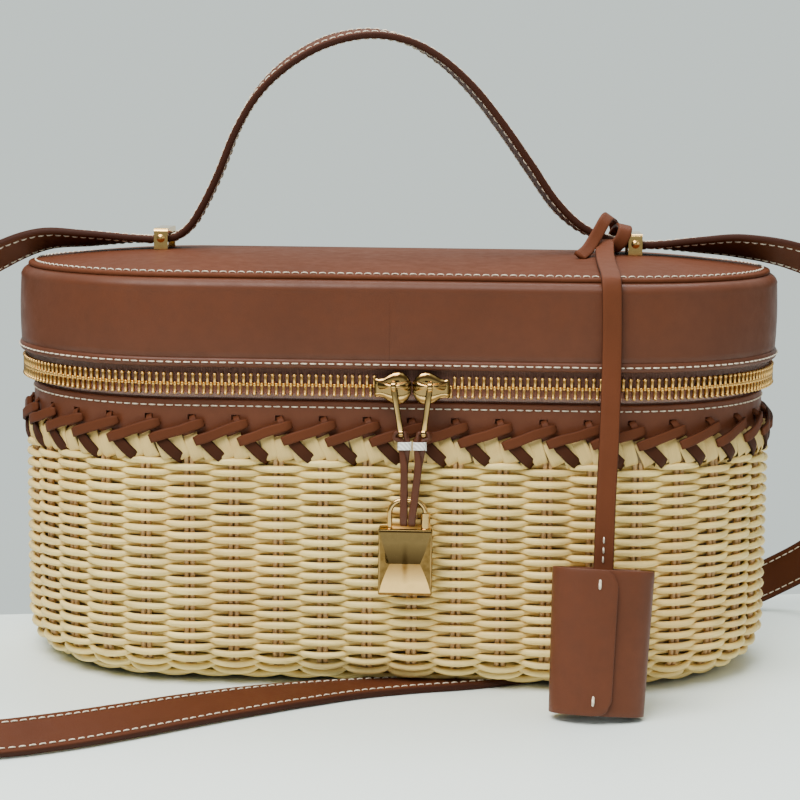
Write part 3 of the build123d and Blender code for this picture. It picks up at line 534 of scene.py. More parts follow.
def rods(name, lines, sides=8, closed=False, unit=MM, caps=True):
    """Round rods along lines of (point, radius in mm), as one mesh."""
    curve = bpy.data.curves.new(name, "CURVE")
    curve.dimensions = "3D"
    curve.bevel_depth = unit
    curve.bevel_resolution = (sides - 4) // 2
    curve.use_fill_caps = caps and not closed
    for line in lines:
        spline = curve.splines.new("POLY")
        spline.points.add(len(line) - 1)
        spline.points.foreach_set("co", [c for p, _ in line for c in (*p, 1.0)])
        spline.points.foreach_set("radius", [r for _, r in line])
        spline.use_cyclic_u = closed
        spline.use_smooth = True
    holder = bpy.data.objects.new(name, curve)
    bpy.context.scene.collection.objects.link(holder)
    solid = holder.evaluated_get(bpy.context.evaluated_depsgraph_get())
    mesh = bpy.data.meshes.new_from_object(solid)
    bpy.data.objects.remove(holder)
    bpy.data.curves.remove(curve)
    return mesh


def smooth_line(points, steps, closed=False):
    """A smooth line through rows of numbers, with the given steps between them."""
    count = len(points)
    rows = [Vector(p[:3]) for p in points]
    extra = [tuple(p[3:]) for p in points]
    line = []
    for k in range(count if closed else count - 1):
        before = rows[(k - 1) % count] if closed or k else rows[0] * 2 - rows[1]
        start, stop = rows[k], rows[(k + 1) % count]
        after = rows[(k + 2) % count] if closed or k + 2 < count else stop * 2 - start
        t1 = max((start - before).length, 1e-9) ** 0.5
        t2 = t1 + max((stop - start).length, 1e-9) ** 0.5
        t3 = t2 + max((after - stop).length, 1e-9) ** 0.5
        for step in range(steps):
            t = t1 + (t2 - t1) * step / steps
            a1 = before * ((t1 - t) / t1) + start * (t / t1)
            a2 = start * ((t2 - t) / (t2 - t1)) + stop * ((t - t1) / (t2 - t1))
            a3 = stop * ((t3 - t) / (t3 - t2)) + after * ((t - t2) / (t3 - t2))
            b1 = a1 * ((t2 - t) / t2) + a2 * (t / t2)
            b2 = a2 * ((t3 - t) / (t3 - t1)) + a3 * ((t - t1) / (t3 - t1))
            point = b1 * ((t2 - t) / (t2 - t1)) + b2 * ((t - t1) / (t2 - t1))
            share = step / steps
            more = tuple(a * (1 - share) + b * share for a, b in zip(
                extra[k], extra[(k + 1) % count],
            ))
            line.append((point, more))
    if not closed:
        line.append((rows[-1], extra[-1]))
    return line


def frames(line, closed=False):
    """Points, ways along, across and up for a line whose extras begin with the way across."""
    count = len(line)
    result = []
    for k, (point, more) in enumerate(line):
        ahead = line[(k + 1) % count][0] if closed or k + 1 < count else point
        behind = line[k - 1][0] if closed or k else point
        along = (ahead - behind).normalized()
        across = Vector(more[:3])
        across = (across - along * across.dot(along)).normalized()
        result.append((point, along, across, along.cross(across), more[3:]))
    return result


def flat_section(edge=0.16, count=3):
    """Half-width and half-thickness shares of a strap's rounded section, once round."""
    corner = [
        (
            1 - edge + edge * math.sin(math.pi / 2 * i / count), math.cos(math.pi / 2 * i / count),
        ) for i in range(count + 1)
    ]
    top = [(0.0, 1.0), (0.5, 1.0)] + corner
    right = top + [(a, -b) for a, b in reversed(corner)] + [(0.5, -1.0), (0.0, -1.0)]
    return right + [(-a, b) for a, b in reversed(right[1:-1])]


ROUND = [(math.sin(2 * math.pi * i / 12), math.cos(2 * math.pi * i / 12)) for i in range(12)]


def sweep(bm, line, half_width, half_thick, section, closed=False):
    """A strap or lace along a line with ways across; closed ends, UV in metres."""
    rows = frames(line, closed)
    ring = section + [section[0]]
    lengths = [0.0]
    for a, b in zip(rows, rows[1:] + rows[:1]):
        lengths.append(lengths[-1] + (b[0] - a[0]).length)
    last = len(rows) if closed else len(rows) - 1

    def place(i, j):
        point, _, across, up, more = rows[j % len(rows)]
        a, b = ring[i]
        w = half_width * (more[0] if more else 1.0)
        t = half_thick * (more[1] if len(more) > 1 else 1.0)
        return point + across * (a * w) + up * (b * t)

    made = mapped(
        bm, len(ring) - 1, last, place, lambda i, j: (lengths[j], ring[i][0] * half_width),
    )
    made = [v for v in made if v.is_valid]
    bmesh.ops.remove_doubles(bm, verts=made, dist=1e-7)
    made = [v for v in made if v.is_valid]
    if not closed:
        edges = {e for v in made for e in v.link_edges if e.is_boundary}
        bmesh.ops.holes_fill(bm, edges=list(edges), sides=0)
    faces = {f for v in made for f in v.link_faces}
    bmesh.ops.recalc_face_normals(bm, faces=list(faces))
    return rows


def stitches(
    at, length, pitch, lines, half=0.36, radius=0.24, lift=0.00022, sink=0.00016, start=0.0,
):
    """Adds a run of stitches; at(s) gives a point on the leather, the way along and the way out."""
    count = max(1, round(length / pitch))
    step = length / count
    for k in range(count):
        s = start + (k + 0.5) * step
        point, along, out = at(s)
        reach = step * half
        shape = (
            (-1, -sink, 0.7), (-0.72, lift * 0.7, 0.95), (0, lift, 1.05), (0.72, lift * 0.7, 0.95),
            (1, -sink, 0.7),
        )
        lines.append([(point + along * (reach * a) + out * h, radius * r) for a, h, r in shape])


def strip_on_rim(bm, marks, width, thick, reference=COLLAR_R):
    """A short lace or cane strip lying on the outline: marks are (s, radius, z, share of width)."""
    points = []
    for s, radius, z, share in marks:
        point, out, along = spot(s, reference, radius, z)
        points.append((point, out, share))
    rows = []
    for k, (point, out, share) in enumerate(points):
        ahead = points[min(k + 1, len(points) - 1)][0]
        behind = points[max(k - 1, 0)][0]
        across = out.cross((ahead - behind).normalized())
        rows.append((*point, *across, share, 1.0))
    line = smooth_line(rows, 3)
    return sweep(bm, line, width / 2, thick / 2, flat_section(0.14, 2))


# ---------------------------------------------------------------- basket
WEAVE_R = 0.0606
WEAVE_ROUND = 0.0104
WALL_LOW = 0.01455
WEAVE_TOP = 0.0779


def weave_profile(q):
    """Place on the middle of the weave, q metres down from its top: radius, height, way out."""
    wall = WEAVE_TOP - WALL_LOW
    if q < wall:
        return WEAVE_R, WEAVE_TOP - q, (1.0, 0.0)
    a = (q - wall) / WEAVE_ROUND
    if a < math.pi / 2:
        centre = WEAVE_R - WEAVE_ROUND
        return centre + WEAVE_ROUND * math.cos(a), WALL_LOW - WEAVE_ROUND * math.sin(a), (
            math.cos(a), -math.sin(a),
        )
    rest = q - wall - WEAVE_ROUND * math.pi / 2
    return WEAVE_R - WEAVE_ROUND - rest, WALL_LOW - WEAVE_ROUND, (0.0, -1.0)


def on_weave(s, q, proud):
    """A point s round and q down the weave, standing proud of its middle."""
    r, z, (nr, nz) = weave_profile(q)
    return spot(s, WEAVE_R, r + nr * proud, z + nz * proud)[0]


class BAG_OT_weave(bpy.types.Operator):
    """Weavers in and out of paired stakes, with a trailing border at the bottom edge"""

    bl_idname = "bag.weave"
    bl_label = "Weave"

    def execute(self, context):
        size, paint = sizes(), colours()
        dice = random.Random(7)
        total = perimeter(WEAVE_R)
        pairs = size.stake_pairs
        gap = total / pairs
        shift = -0.0069  # brings a pair of stakes to its place on the front
        slim = size.weaver_radius / MM
        wall_rows = int((WEAVE_TOP - WALL_LOW + WEAVE_ROUND * 1.28) / size.row_pitch)
        reeds = rattan("Peeled rattan", paint.rattan)

        def weaver(row, pitch, per_gap, swing, bulge):
            line = []
            jitter = [(dice.uniform(-1, 1), dice.uniform(-1, 1)) for _ in range(pairs)]
            count = pairs * per_gap
            for i in range(count):
                turn = i / per_gap
                k = int(turn + 0.5) % pairs
                wave = math.cos(math.pi * turn) * (1 if row % 2 else -1)
                shaped = math.copysign(abs(wave) ** 0.62, wave)
                drift, swell = jitter[k]
                full = abs(shaped)
                q = 0.0006 + row * pitch + drift * 0.00026 * full
                radius = bulge * (0.80 + 0.20 * full) * (1 + 0.06 * swell * full)
                line.append((on_weave(turn * gap + shift, q, swing * shaped), radius))
            return line

        half = wall_rows // 2
        for part, span in (("upper", range(half)), ("lower", range(half, wall_rows))):
            lines = [weaver(row, size.row_pitch, 10, 0.00185, slim) for row in span]
            mesh = rods("weavers_" + part, lines, 8, closed=True)
            piece(
                "weavers_" + part, mesh, reeds, "basket",
                ["woven_basket"] if part == "upper" else (),
            )
        base_rows = [weaver(row, 0.0028, 6, 0.0012, 1.25) for row in range(32, 47)]
        piece(
            "base_weave", rods("base_weave", base_rows, 6, closed=True), reeds, "basket",
        )

        lines = []
        for k in range(pairs):
            for side in (-1, 1):
                line = []
                for i in range(30):
                    q = -0.0015 + i * 0.0037
                    point = on_weave(k * gap + shift + side * 0.00098, max(q, 0.0), 0.0)
                    line.append((point + Vector((0, 0, max(0.0, -q))), 0.92))
                lines.append(line)
        piece(
            "stakes", rods("stakes", lines, 6), rattan("Rattan stakes", paint.stake, False),
            "basket",
        )

        lines = []
        foot = WEAVE_TOP - WALL_LOW + WEAVE_ROUND * 1.22
        for k in range(pairs):
            for strand in range(2):
                line = []
                for i in range(15):
                    u = i / 14
                    rise = math.sin(math.pi * u)
                    q = foot + 0.0002 + strand * 0.0018 + 0.0010 * rise
                    proud = -0.0016 + 0.0036 * rise
                    s = (k + 0.02 + 2.0 * u - 0.5) * gap + shift
                    line.append((on_weave(s, q, proud), 1.12 + 0.12 * rise))
                lines.append(line)
        piece("bottom_border", rods("bottom_border", lines, 6), reeds, "basket")
        return {"FINISHED"}


class BAG_OT_rim(bpy.types.Operator):
    """Flat cane wrapped round the rim"""

    bl_idname = "bag.rim"
    bl_label = "Cane rim"

    def execute(self, context):
        size, paint = sizes(), colours()
        dice = random.Random(11)
        cane = flat_cane("Flat cane", paint.cane)
        core = [
            (0.0586, RIM_LOW + 0.0006), (0.0619, RIM_LOW + 0.0006), (0.0619, RIM_HIGH - 0.0012),
            (0.0610, RIM_HIGH - 0.0005), (0.0586, RIM_HIGH - 0.0005),
        ]
        bm = bmesh.new()
        band(bm, core)
        bmesh.ops.recalc_face_normals(bm, faces=bm.faces)
        # painted shade: the core under the wraps is painted far darker than the stakes, so the gaps
        # between the wraps read as shade
        piece("rim_core", bm, rattan("Rim core", shade(paint.stake, 0.45)), "basket")
        bm = bmesh.new()
        count = round(perimeter(COLLAR_R) / size.cane_width)
        step = perimeter(COLLAR_R) / count
        path = [
            (0.0588, 0.0855), (0.0600, 0.0862), (0.0612, 0.0861), (0.0622, 0.0852),
            (0.0626, 0.0838), (0.0627, 0.0815), (0.0626, 0.0797), (0.0619, 0.0786),
            (0.0605, 0.0783),
        ]
        for k in range(count):
            slant = dice.uniform(0.0008, 0.0022)
            width = step * dice.uniform(0.90, 1.06)
            lift = dice.uniform(0, 0.00022)
            s = k * step + dice.uniform(-0.0004, 0.0004)
            marks = [(s + slant * (0.0822 - z) / 0.004, r + lift, z, 1.0) for r, z in path]
            strip_on_rim(bm, marks, width, 0.0006)
        piece("cane_wraps", bm, cane, "basket", ["basket_rim"])
        return {"FINISHED"}


class BAG_OT_lacing(bpy.types.Operator):
    """The lace: out of each hole, down to the left, then back under the rim"""

    bl_idname = "bag.lacing"
    bl_label = "Lacing"

    def execute(self, context):
        size, paint = sizes(), colours()
        dice = random.Random(5)
        width = size.lace_width
        bm, under = bmesh.new(), bmesh.new()
        step = perimeter(COLLAR_R) / HOLES
        for k in range(HOLES):
            s = (k + 0.5) * step
            a, b = dice.uniform(-0.0004, 0.0004), dice.uniform(-0.0003, 0.0003)
            tail = [
                (0.0, 0.0585, 0.0926, 0.75), (0.0002, 0.0606, 0.0923, 0.78),
                (0.0006, 0.0618, 0.0913, 0.85), (0.0013, 0.0621, 0.0897, 0.95),
                (0.0018, 0.0619, 0.0880, 1.0),
            ]
            strip_on_rim(bm, [(s + d, r, z, w) for d, r, z, w in tail], width * 0.80, 0.0010)
            back = [
                (-0.0106, 0.0628, 0.0862, 0.9), (-0.0098, 0.0634, 0.0846, 1.0),
                (-0.0080, 0.0636, 0.0828, 1.02), (-0.0058, 0.0634, 0.0806, 1.02),
                (-0.0040, 0.0625, 0.0790, 1.0), (-0.0030, 0.0606, 0.0782, 1.0),
            ]
            strip_on_rim(under, [(s + d + a, r, z, w) for d, r, z, w in back], width * 1.10, 0.0011)
            over = [
                (0.0040, 0.0616, 0.0904 + b, 0.75), (0.0028, 0.0626, 0.0901 + b, 1.0),
                (0.0, 0.0631, 0.0893 + b, 1.02), (-0.0040, 0.0638, 0.0881, 1.0),
                (-0.0080, 0.0643, 0.0868 + a, 1.02), (-0.0112, 0.0643, 0.0857 + a, 1.03),
                (-0.0132, 0.0635, 0.0848 + a, 0.9),
            ]
            strip_on_rim(bm, [(s + d, r, z, w) for d, r, z, w in over], width, 0.0012)
        lace = strap_leather(
            "Lace leather", shade(paint.leather, 0.95), shade(paint.leather, 0.40), width / 2,
        )
        piece("lacing", bm, lace, "basket", ["rim_lacing"])
        # painted shade: the strips that run back under the rim are the same lace painted darker,
        # for the shade they lie in
        lace_in_painted_shade = strap_leather(
            "Lace in painted shade", shade(paint.leather, 0.50), shade(paint.leather, 0.25), width / 2,
        )
        piece("lacing_under", under, lace_in_painted_shade, "basket")
        return {"FINISHED"}


class BAG_OT_lid(bpy.types.Operator):
    """Leather top, side band and hem, a little full over the board"""

    bl_idname = "bag.lid"
    bl_label = "Lid"

    def execute(self, context):
        paint = colours()
        hide = leather("Lid leather", paint.leather)

        def soft(amount):
            def shift(s, r, z):
                wave = noise.noise(Vector((s * 14, z * 30, 3.1)))
                return r + wave * amount, z

            return shift

        bm = bmesh.new()
        wall = [(0.0631, 0.1118), (0.0645, 0.1122)]
        for z in (112.6, 115, 118, 122, 126, 130, 133, 135.2):
            wall.append((0.0648 + 0.0004 * math.sin(math.pi * (z - 112.5) / 22.5), z * MM))
        for i in range(1, 7):
            t = math.pi / 2 * i / 6
            wall.append((0.0610 + 0.0040 * math.cos(t), 0.1351 + 0.0040 * math.sin(t)))
        wall += [(0.0590, 0.1391), (0.0560, 0.1388)]
        band(bm, wall, straight=40, end=44, closed=False, shift=soft(0.00018))
        bmesh.ops.recalc_face_normals(bm, faces=bm.faces)
        piece("side_band", bm, hide, "lid", ["lid_side_band"])

        bm = bmesh.new()
        rise = 0.0045
        edge = [
            (0.0616, 0.1388), (0.06205, 0.1391), (0.06225, 0.1396), (0.06215, 0.1401),
            (0.0618, 0.14045), (0.0612, 0.1406),
        ]
        top = [(0.0601, 0.1407)]
        for r in (57, 53, 48, 42, 35, 28, 21, 14, 7, 0.01):
            top.append((r * MM, 0.1405 + rise * (1 - (r / 62.0) ** 2)))
        band(bm, edge + top, reference=0.062, straight=30, end=40, closed=False)
        bmesh.ops.remove_doubles(bm, verts=bm.verts, dist=0.00003)
        bmesh.ops.recalc_face_normals(bm, faces=bm.faces)
        matt = leather("Lid top leather", paint.leather, 0.55, shine=0.06)
        piece("top_panel", bm, matt, "lid", ["lid_top_panel"])

        bm = bmesh.new()
        hem = [
            (0.0632, 0.1126), (0.0632, 0.1098), (0.0641, 0.1096), (0.0650, 0.1098),
            (0.0654, 0.1104), (0.0655, 0.1112), (0.0654, 0.1120), (0.0651, 0.1126),
            (0.0646, 0.1128),
        ]
        band(bm, hem, straight=40, end=44, shift=soft(0.00008))
        bmesh.ops.recalc_face_normals(bm, faces=bm.faces)
        piece("hem", bm, hide, "lid", ["lid_hem"])

        bm = bmesh.new()
        bmesh.ops.create_uvsphere(bm, u_segments=20, v_segments=10, radius=0.001)
        bmesh.ops.scale(bm, verts=bm.verts, vec=(5.0, 2.2, 1.5))
        bmesh.ops.translate(bm, verts=bm.verts, vec=(-0.0068, 0.0585, 0.1406))
        piece("back_tab", bm, hide, "lid")
        return {"FINISHED"}


class BAG_OT_seams(bpy.types.Operator):
    """Rows of white stitches on the lid and on the collar"""

    bl_idname = "bag.seams"
    bl_label = "Seams"

    def execute(self, context):
        size, paint = sizes(), colours()
        white = sewing_thread("Waxed thread", paint.thread)

        def row(radius, z, tilt):
            def at(s):
                point, out, along = spot(s, radius, radius, z)
                way = (out * math.cos(tilt) + Vector((0, 0, math.sin(tilt)))).normalized()
                return point, along, way

            return at

        lines = []
        stitches(row(0.0597, 0.14085, 1.45), perimeter(0.0597), size.stitch_pitch, lines)
        stitches(row(0.06545, 0.11135, 0.0), perimeter(0.0655), size.stitch_pitch, lines)
        piece("lid_stitches", rods("lid_stitches", lines, 6), white, "lid")
        lines = []
        stitches(row(COLLAR_R, 0.0962, 0.0), perimeter(COLLAR_R), size.stitch_pitch, lines)
        piece("collar_stitches", rods("collar_stitches", lines, 6), white, "basket")
        return {"FINISHED"}


class BAG_OT_zip(bpy.types.Operator):
    """Both tapes, and teeth that mesh along the front and the ends"""

    bl_idname = "bag.zip"
    bl_label = "Zip"

    def execute(self, context):
        size, paint = sizes(), colours()
        woven = {
            "tape_upper": zip_cloth("Zip tape", paint.tape),
            # painted light: the lower tape is the same tape painted 2.2 times lighter, to lift the
            # shade it sits in where it leans inward below the teeth
            "tape_lower": zip_cloth("Lower zip tape, painted lighter", shade(paint.tape, 2.2)),
        }
        upper = [(0.0624, 0.1042), (0.0630, 0.1042), (0.0630, 0.1178), (0.0624, 0.1178)]
        lower = [
            (0.0630, 0.1037), (0.0630, 0.1010), (0.0612, 0.0998), (0.0590, 0.0987),
            (0.0590, 0.0903), (0.0584, 0.0903), (0.0584, 0.0991), (0.0606, 0.1003),
            (0.0624, 0.1013), (0.0624, 0.1037),
        ]
        for name, body, section in (("tape_upper", "lid", upper), ("tape_lower", "basket", lower)):
            bm = bmesh.new()
            band(bm, section)
            bmesh.ops.recalc_face_normals(bm, faces=bm.faces)
            piece(name, bm, woven[name], body, ["zip_" + name], sharp=50)
        brass = plated(
            "Zip teeth", (paint.gold[0] * 0.86, paint.gold[1] * 0.80, paint.gold[2] * 0.66), 0.26,
        )
        for name, body, up, shift in (
            ("teeth_upper", "lid", 1, 0.0), ("teeth_lower", "basket", -1, 0.5),
        ):
            bm = bmesh.new()
            total = perimeter(TAPE_R)
            count = round(total / size.tooth_pitch)
            for k in range(count):
                s = (k + shift) * total / count
                point, out, along = spot(s, TAPE_R, TEETH_R, TEETH_Z)
                if point.y < 0 and abs(point.x - SLIDER_X) < SLIDERS_REACH:
                    continue
                if point.y > 0 and abs(point.x) < HINGE_REACH:
                    continue
                turn = Matrix((along, out, Vector((0, 0, 1)))).transposed().to_4x4()
                for size_x, size_y, size_z, z, bevel in (
                    (0.92, 1.5, 3.2, 1.8, 0.25), (1.12, 1.5, 1.4, 0.1, 0.34),
                    (1.30, 2.0, 1.10, 3.15, 0.40),
                ):
                    part = bmesh.ops.create_cube(bm, size=1.0)["verts"]
                    bmesh.ops.scale(bm, verts=part, vec=(size_x * MM, size_y * MM, size_z * MM))
                    faces = {f for v in part for f in v.link_faces}
                    edges = {e for f in faces for e in f.edges}
                    made = bmesh.ops.bevel(
                        bm, geom=list(edges), offset=bevel * MM, segments=1, **BEVEL,
                    )
                    part = {v for f in made["faces"] for v in f.verts}
                    lift = Matrix.Translation((0, 0, up * z * MM))
                    place = Matrix.Translation(point) @ turn @ lift
                    bmesh.ops.transform(bm, verts=list(part), matrix=place)
            piece(name, bm, brass, body, ["zip_" + name])
        return {"FINISHED"}


# ---------------------------------------------------------------- closure
class BAG_OT_sliders(bpy.types.Operator):
    """Two gold sliders, nose to nose, each with a bridge"""

    bl_idname = "bag.sliders"
    bl_label = "Sliders"

    def execute(self, context):
        gold = plating_with_painted_reflection("Slider gold", colours().gold)
        for side, word in ((-1, "left"), (1, "right")):
            bm = bmesh.new()
            middle = SLIDER_X + side * 0.0063
            shape = [
                (0.0, 2.5, 0.4), (0.25, 3.1, 0.8), (0.8, 3.3, 1.0), (1.7, 3.1, 1.1),
                (3.0, 3.4, 1.25), (4.6, 4.4, 1.4), (6.4, 5.25, 1.5), (8.2, 5.5, 1.5),
                (9.8, 5.05, 1.4), (11.1, 3.9, 1.2), (11.9, 2.6, 0.95), (12.3, 1.2, 0.6),
            ]
            rows = []
            for x, h, t in shape:
                rows.append((middle + side * (6.2 - x) * MM, -0.06545, 0.1037, 0, 0, 1, h, t))
            sweep(bm, smooth_line(rows, 4), MM, MM, flat_section(0.60, 6))
            rows = []
            for x, h, _ in shape[1:-1]:
                rows.append((middle + side * (5.6 - x) * MM, -0.0616, 0.1046, 0, 0, 1, h, 0.5))
            sweep(bm, smooth_line(rows, 2), MM, MM, flat_section(0.2, 2))
            pin = SLIDER_X + side * PULL_STANCE
            bridge = [
                (-4.9, -65.9, 1.5, 0.8), (-3.6, -67.0, 1.25, 0.75), (-2.2, -68.0, 0.85, 0.65),
                (-0.9, -68.4, 0.6, 0.6), (0.9, -68.4, 0.6, 0.6), (2.4, -68.1, 0.9, 0.65),
                (4.0, -67.2, 1.5, 0.8), (5.2, -65.9, 1.9, 0.9),
            ]
            rows = [(pin - side * x * MM, y * MM, PIN_Z, 0, 0, 1, w, t) for x, y, w, t in bridge]
            sweep(bm, smooth_line(rows, 4), MM, MM, ROUND)
            piece(
                "slider_" + word, bm, gold, "slider_" + word, ["zip_slider_" + word],
                sharp=38,
            )
        return {"FINISHED"}


def pull_end(side):
    """Where a hanging pull's lower eye is: across and up."""
    return SLIDER_X + side * PULL_STANCE + (0.0026 if side < 0 else -0.0019), PIN_Z - 0.0156


class BAG_OT_pulls(bpy.types.Operator):
    """Slender gold pulls, doubled leather cords and their white whipping"""

    bl_idname = "bag.pulls"
    bl_label = "Pulls and cords"

    def execute(self, context):
        paint = colours()
        gold = plating_with_painted_reflection("Pull gold", shade(paint.gold, 0.9))
        hide = leather("Cord leather", shade(paint.leather, 0.78), 0.45, 0.6)
        white = sewing_thread("Whipping thread", (0.86, 0.84, 0.78), 0.0004)
        ridge = [
            (0, 1), (0.72, 0.75), (1, 0.25), (1, -0.25), (0.72, -0.75), (0, -1), (-0.72, -0.75),
            (-1, -0.25), (-1, 0.25), (-0.72, 0.75),
        ]
        for side, word in ((-1, "left"), (1, "right")):
            top_x = SLIDER_X + side * PULL_STANCE
            end_x, end_z = pull_end(side)
            bm = bmesh.new()
            way = Vector((end_x - top_x, 0, end_z - PIN_Z)).normalized()
            start = Vector((top_x, PIN_Y, PIN_Z)) + way * 0.0012
            stop = Vector((end_x, PIN_Y, end_z)) - way * 0.0007
            line = []
            for share, w, t in (
                (0.0, 0.9, 0.8), (0.04, 1.05, 0.9), (0.3, 1.0, 0.9), (0.7, 0.92, 0.85),
                (0.96, 1.0, 0.9), (1.0, 0.9, 0.8),
            ):
                line.append((start.lerp(stop, share), (1, 0, 0, w, t)))
            sweep(bm, line, 0.001, 0.00075, ridge)
            ring = []
            for i in range(16):
                a = 2 * math.pi * i / 16
                ring.append((
                    Vector((top_x, PIN_Y + 0.0013 * math.cos(a), PIN_Z + 0.0013 * math.sin(a))),
                    (1, 0, 0, 1, 1),
                ))
            sweep(bm, ring, 0.0009, 0.00042, flat_section(0.4, 2), closed=True)
            ring = []
            for i in range(14):
                a = 2 * math.pi * i / 14
                ring.append((
                    Vector((end_x, PIN_Y + 0.00105 * math.cos(a), end_z + 0.00105 * math.sin(a))),
                    (1, 0, 0, 1, 1),
                ))
            sweep(bm, ring, 0.0008, 0.00032, flat_section(0.4, 2), closed=True)
            piece("pull_" + word, bm, gold, "pulls", ["zip_pull_" + word], sharp=34)

            low_x = LOCK_X + (0.00205 if side > 0 else -0.00070)
            bound_x = end_x - side * 0.00125
            legs = []
            for s in (-1, 1):
                legs.append(
                    [
                        (end_x + s * 0.00150, PIN_Y, end_z + 0.0002, 0.3, 1, 0, 1.5, 0.8),
                        (end_x + s * 0.00185, PIN_Y, end_z - 0.0016, 1, 1, 0, 1.2, 0.9),
                        (bound_x + s * 0.00095, PIN_Y, 0.0864, 1, 0.2, 0, 1.35, 1.1),
                        (bound_x + s * 0.00090, PIN_Y, 0.0834, 1, 0, 0, 1.35, 1.1),
                        (
                            bound_x * 0.92 + low_x * 0.08 + s * 0.00030, PIN_Y + s * 0.0009, 0.0796,
                            1, 0, 0, 1.65, 0.95,
                        ),
                        (
                            bound_x * 0.8 + low_x * 0.2, PIN_Y + s * 0.0016, 0.0770, 1, 0, 0, 1.78,
                            0.8,
                        ),
                        (
                            bound_x * 0.4 + low_x * 0.6, PIN_Y + s * 0.00185, 0.0680, 1, 0, 0, 1.78,
                            0.75,
                        ),
                        (low_x, PIN_Y + s * 0.00175, 0.0600, 1, 0, 0, 1.78, 0.75),
                        (low_x, PIN_Y + s * 0.0009, 0.0586, 1, 0, 0, 1.78, 0.75),
                    ]
                )
            bm = bmesh.new()
            rows = [(end_x, PIN_Y, end_z + 0.0001, 0, 1, 0, 1.0, 0.7)] + legs[0] + legs[1][::-1]
            for k in range(
                len(legs[0]) + 1, len(rows),
            ):  # the way across turns over on the way back
                x, y, z, a, b, c, w, t = rows[k]
                rows[k] = (x, y, z, -a, -b, -c, w, t)
            sweep(
                bm, smooth_line(rows, 5, closed=True), 0.0007, 0.0007, flat_section(0.42, 3),
                closed=True,
            )
            piece("cord_" + word, bm, hide, "pulls", ["pull_cord_" + word])

            turns, per = 7, 20
            line = []
            for i in range(turns * per + 1):
                a = 2 * math.pi * i / per
                r = 0.00112
                x = bound_x + 0.00098 * max(-1, min(1, 1.6 * math.cos(a))) + r * math.cos(a)
                line.append((
                    Vector((x, PIN_Y + r * math.sin(a), 0.0835 + 0.0026 * i / (turns * per))), 0.23,
                ))
            piece(
                "whipping_" + word, rods("whipping_" + word, [line], 6), white, "pulls",
                ["cord_binding_" + word],
            )
        return {"FINISHED"}


class BAG_OT_padlock(bpy.types.Operator):
    """A small gold padlock with hollow-ground faces that meet in a point"""

    bl_idname = "bag.padlock"
    bl_label = "Padlock"

    def execute(self, context):
        paint = colours()
        gold = plating_with_painted_reflection("Padlock gold", paint.gold)
        half_w, half_h = 0.00895, 0.01135
        middle_z = LOCK_TOP - half_h
        front, back = PIN_Y - 0.0024, PIN_Y + 0.0040
        bm = bmesh.new()
        part = bmesh.ops.create_cube(bm, size=1.0)["verts"]
        bmesh.ops.scale(bm, verts=part, vec=(2 * half_w, back - front, 2 * half_h - 0.0002))
        bmesh.ops.translate(bm, verts=part, vec=(LOCK_X, (front + back) / 2, middle_z + 0.0001))
        bmesh.ops.bevel(bm, geom=list(bm.edges), offset=0.00045, segments=2, **BEVEL)
        sides, middle, along = 10, 24, 64

        def relief(i, j):
            z = 2 * j / along - 1
            v = 1 - abs(z)
            hip = 0.42 * v**1.35
            ridge = v**1.5
            if i <= sides:
                share = i / sides
                x, rise = -1 + hip * share, ridge * share**1.25
            elif i >= sides + middle:
                share = (2 * sides + middle - i) / sides
                x, rise = 1 - hip * share, ridge * share**1.25
            else:
                x = (2 * (i - sides) / middle - 1) * (1 - hip)
                rise = ridge + 0.16 * max(0.0, 1 - abs(x) / 0.12) * v * v
            height = 0.0003 * min(1.0, v * 14) + 0.0019 * rise
            return Vector((
                LOCK_X + x * (half_w - 0.0003), front + 0.0001 - height,
                middle_z + z * (half_h - 0.0003),
            ))

        mapped(bm, 2 * sides + middle, along, relief)
        bmesh.ops.recalc_face_normals(bm, faces=bm.faces)
        piece("padlock_case", bm, gold, "padlock", ["padlock_body"], sharp=14)
        return {"FINISHED"}


# ---------------------------------------------------------------- strap and staples
def leaning(x, y, ax, ay, tilt):
    """Strap lying on the floor with one edge raised."""
    a = math.radians(tilt)
    size = math.hypot(ax, ay)
    return (
        x, y, 7.5 * math.sin(a) + 1.2 * math.cos(a), ax / size * math.cos(a),
        ay / size * math.cos(a), math.sin(a),
    )


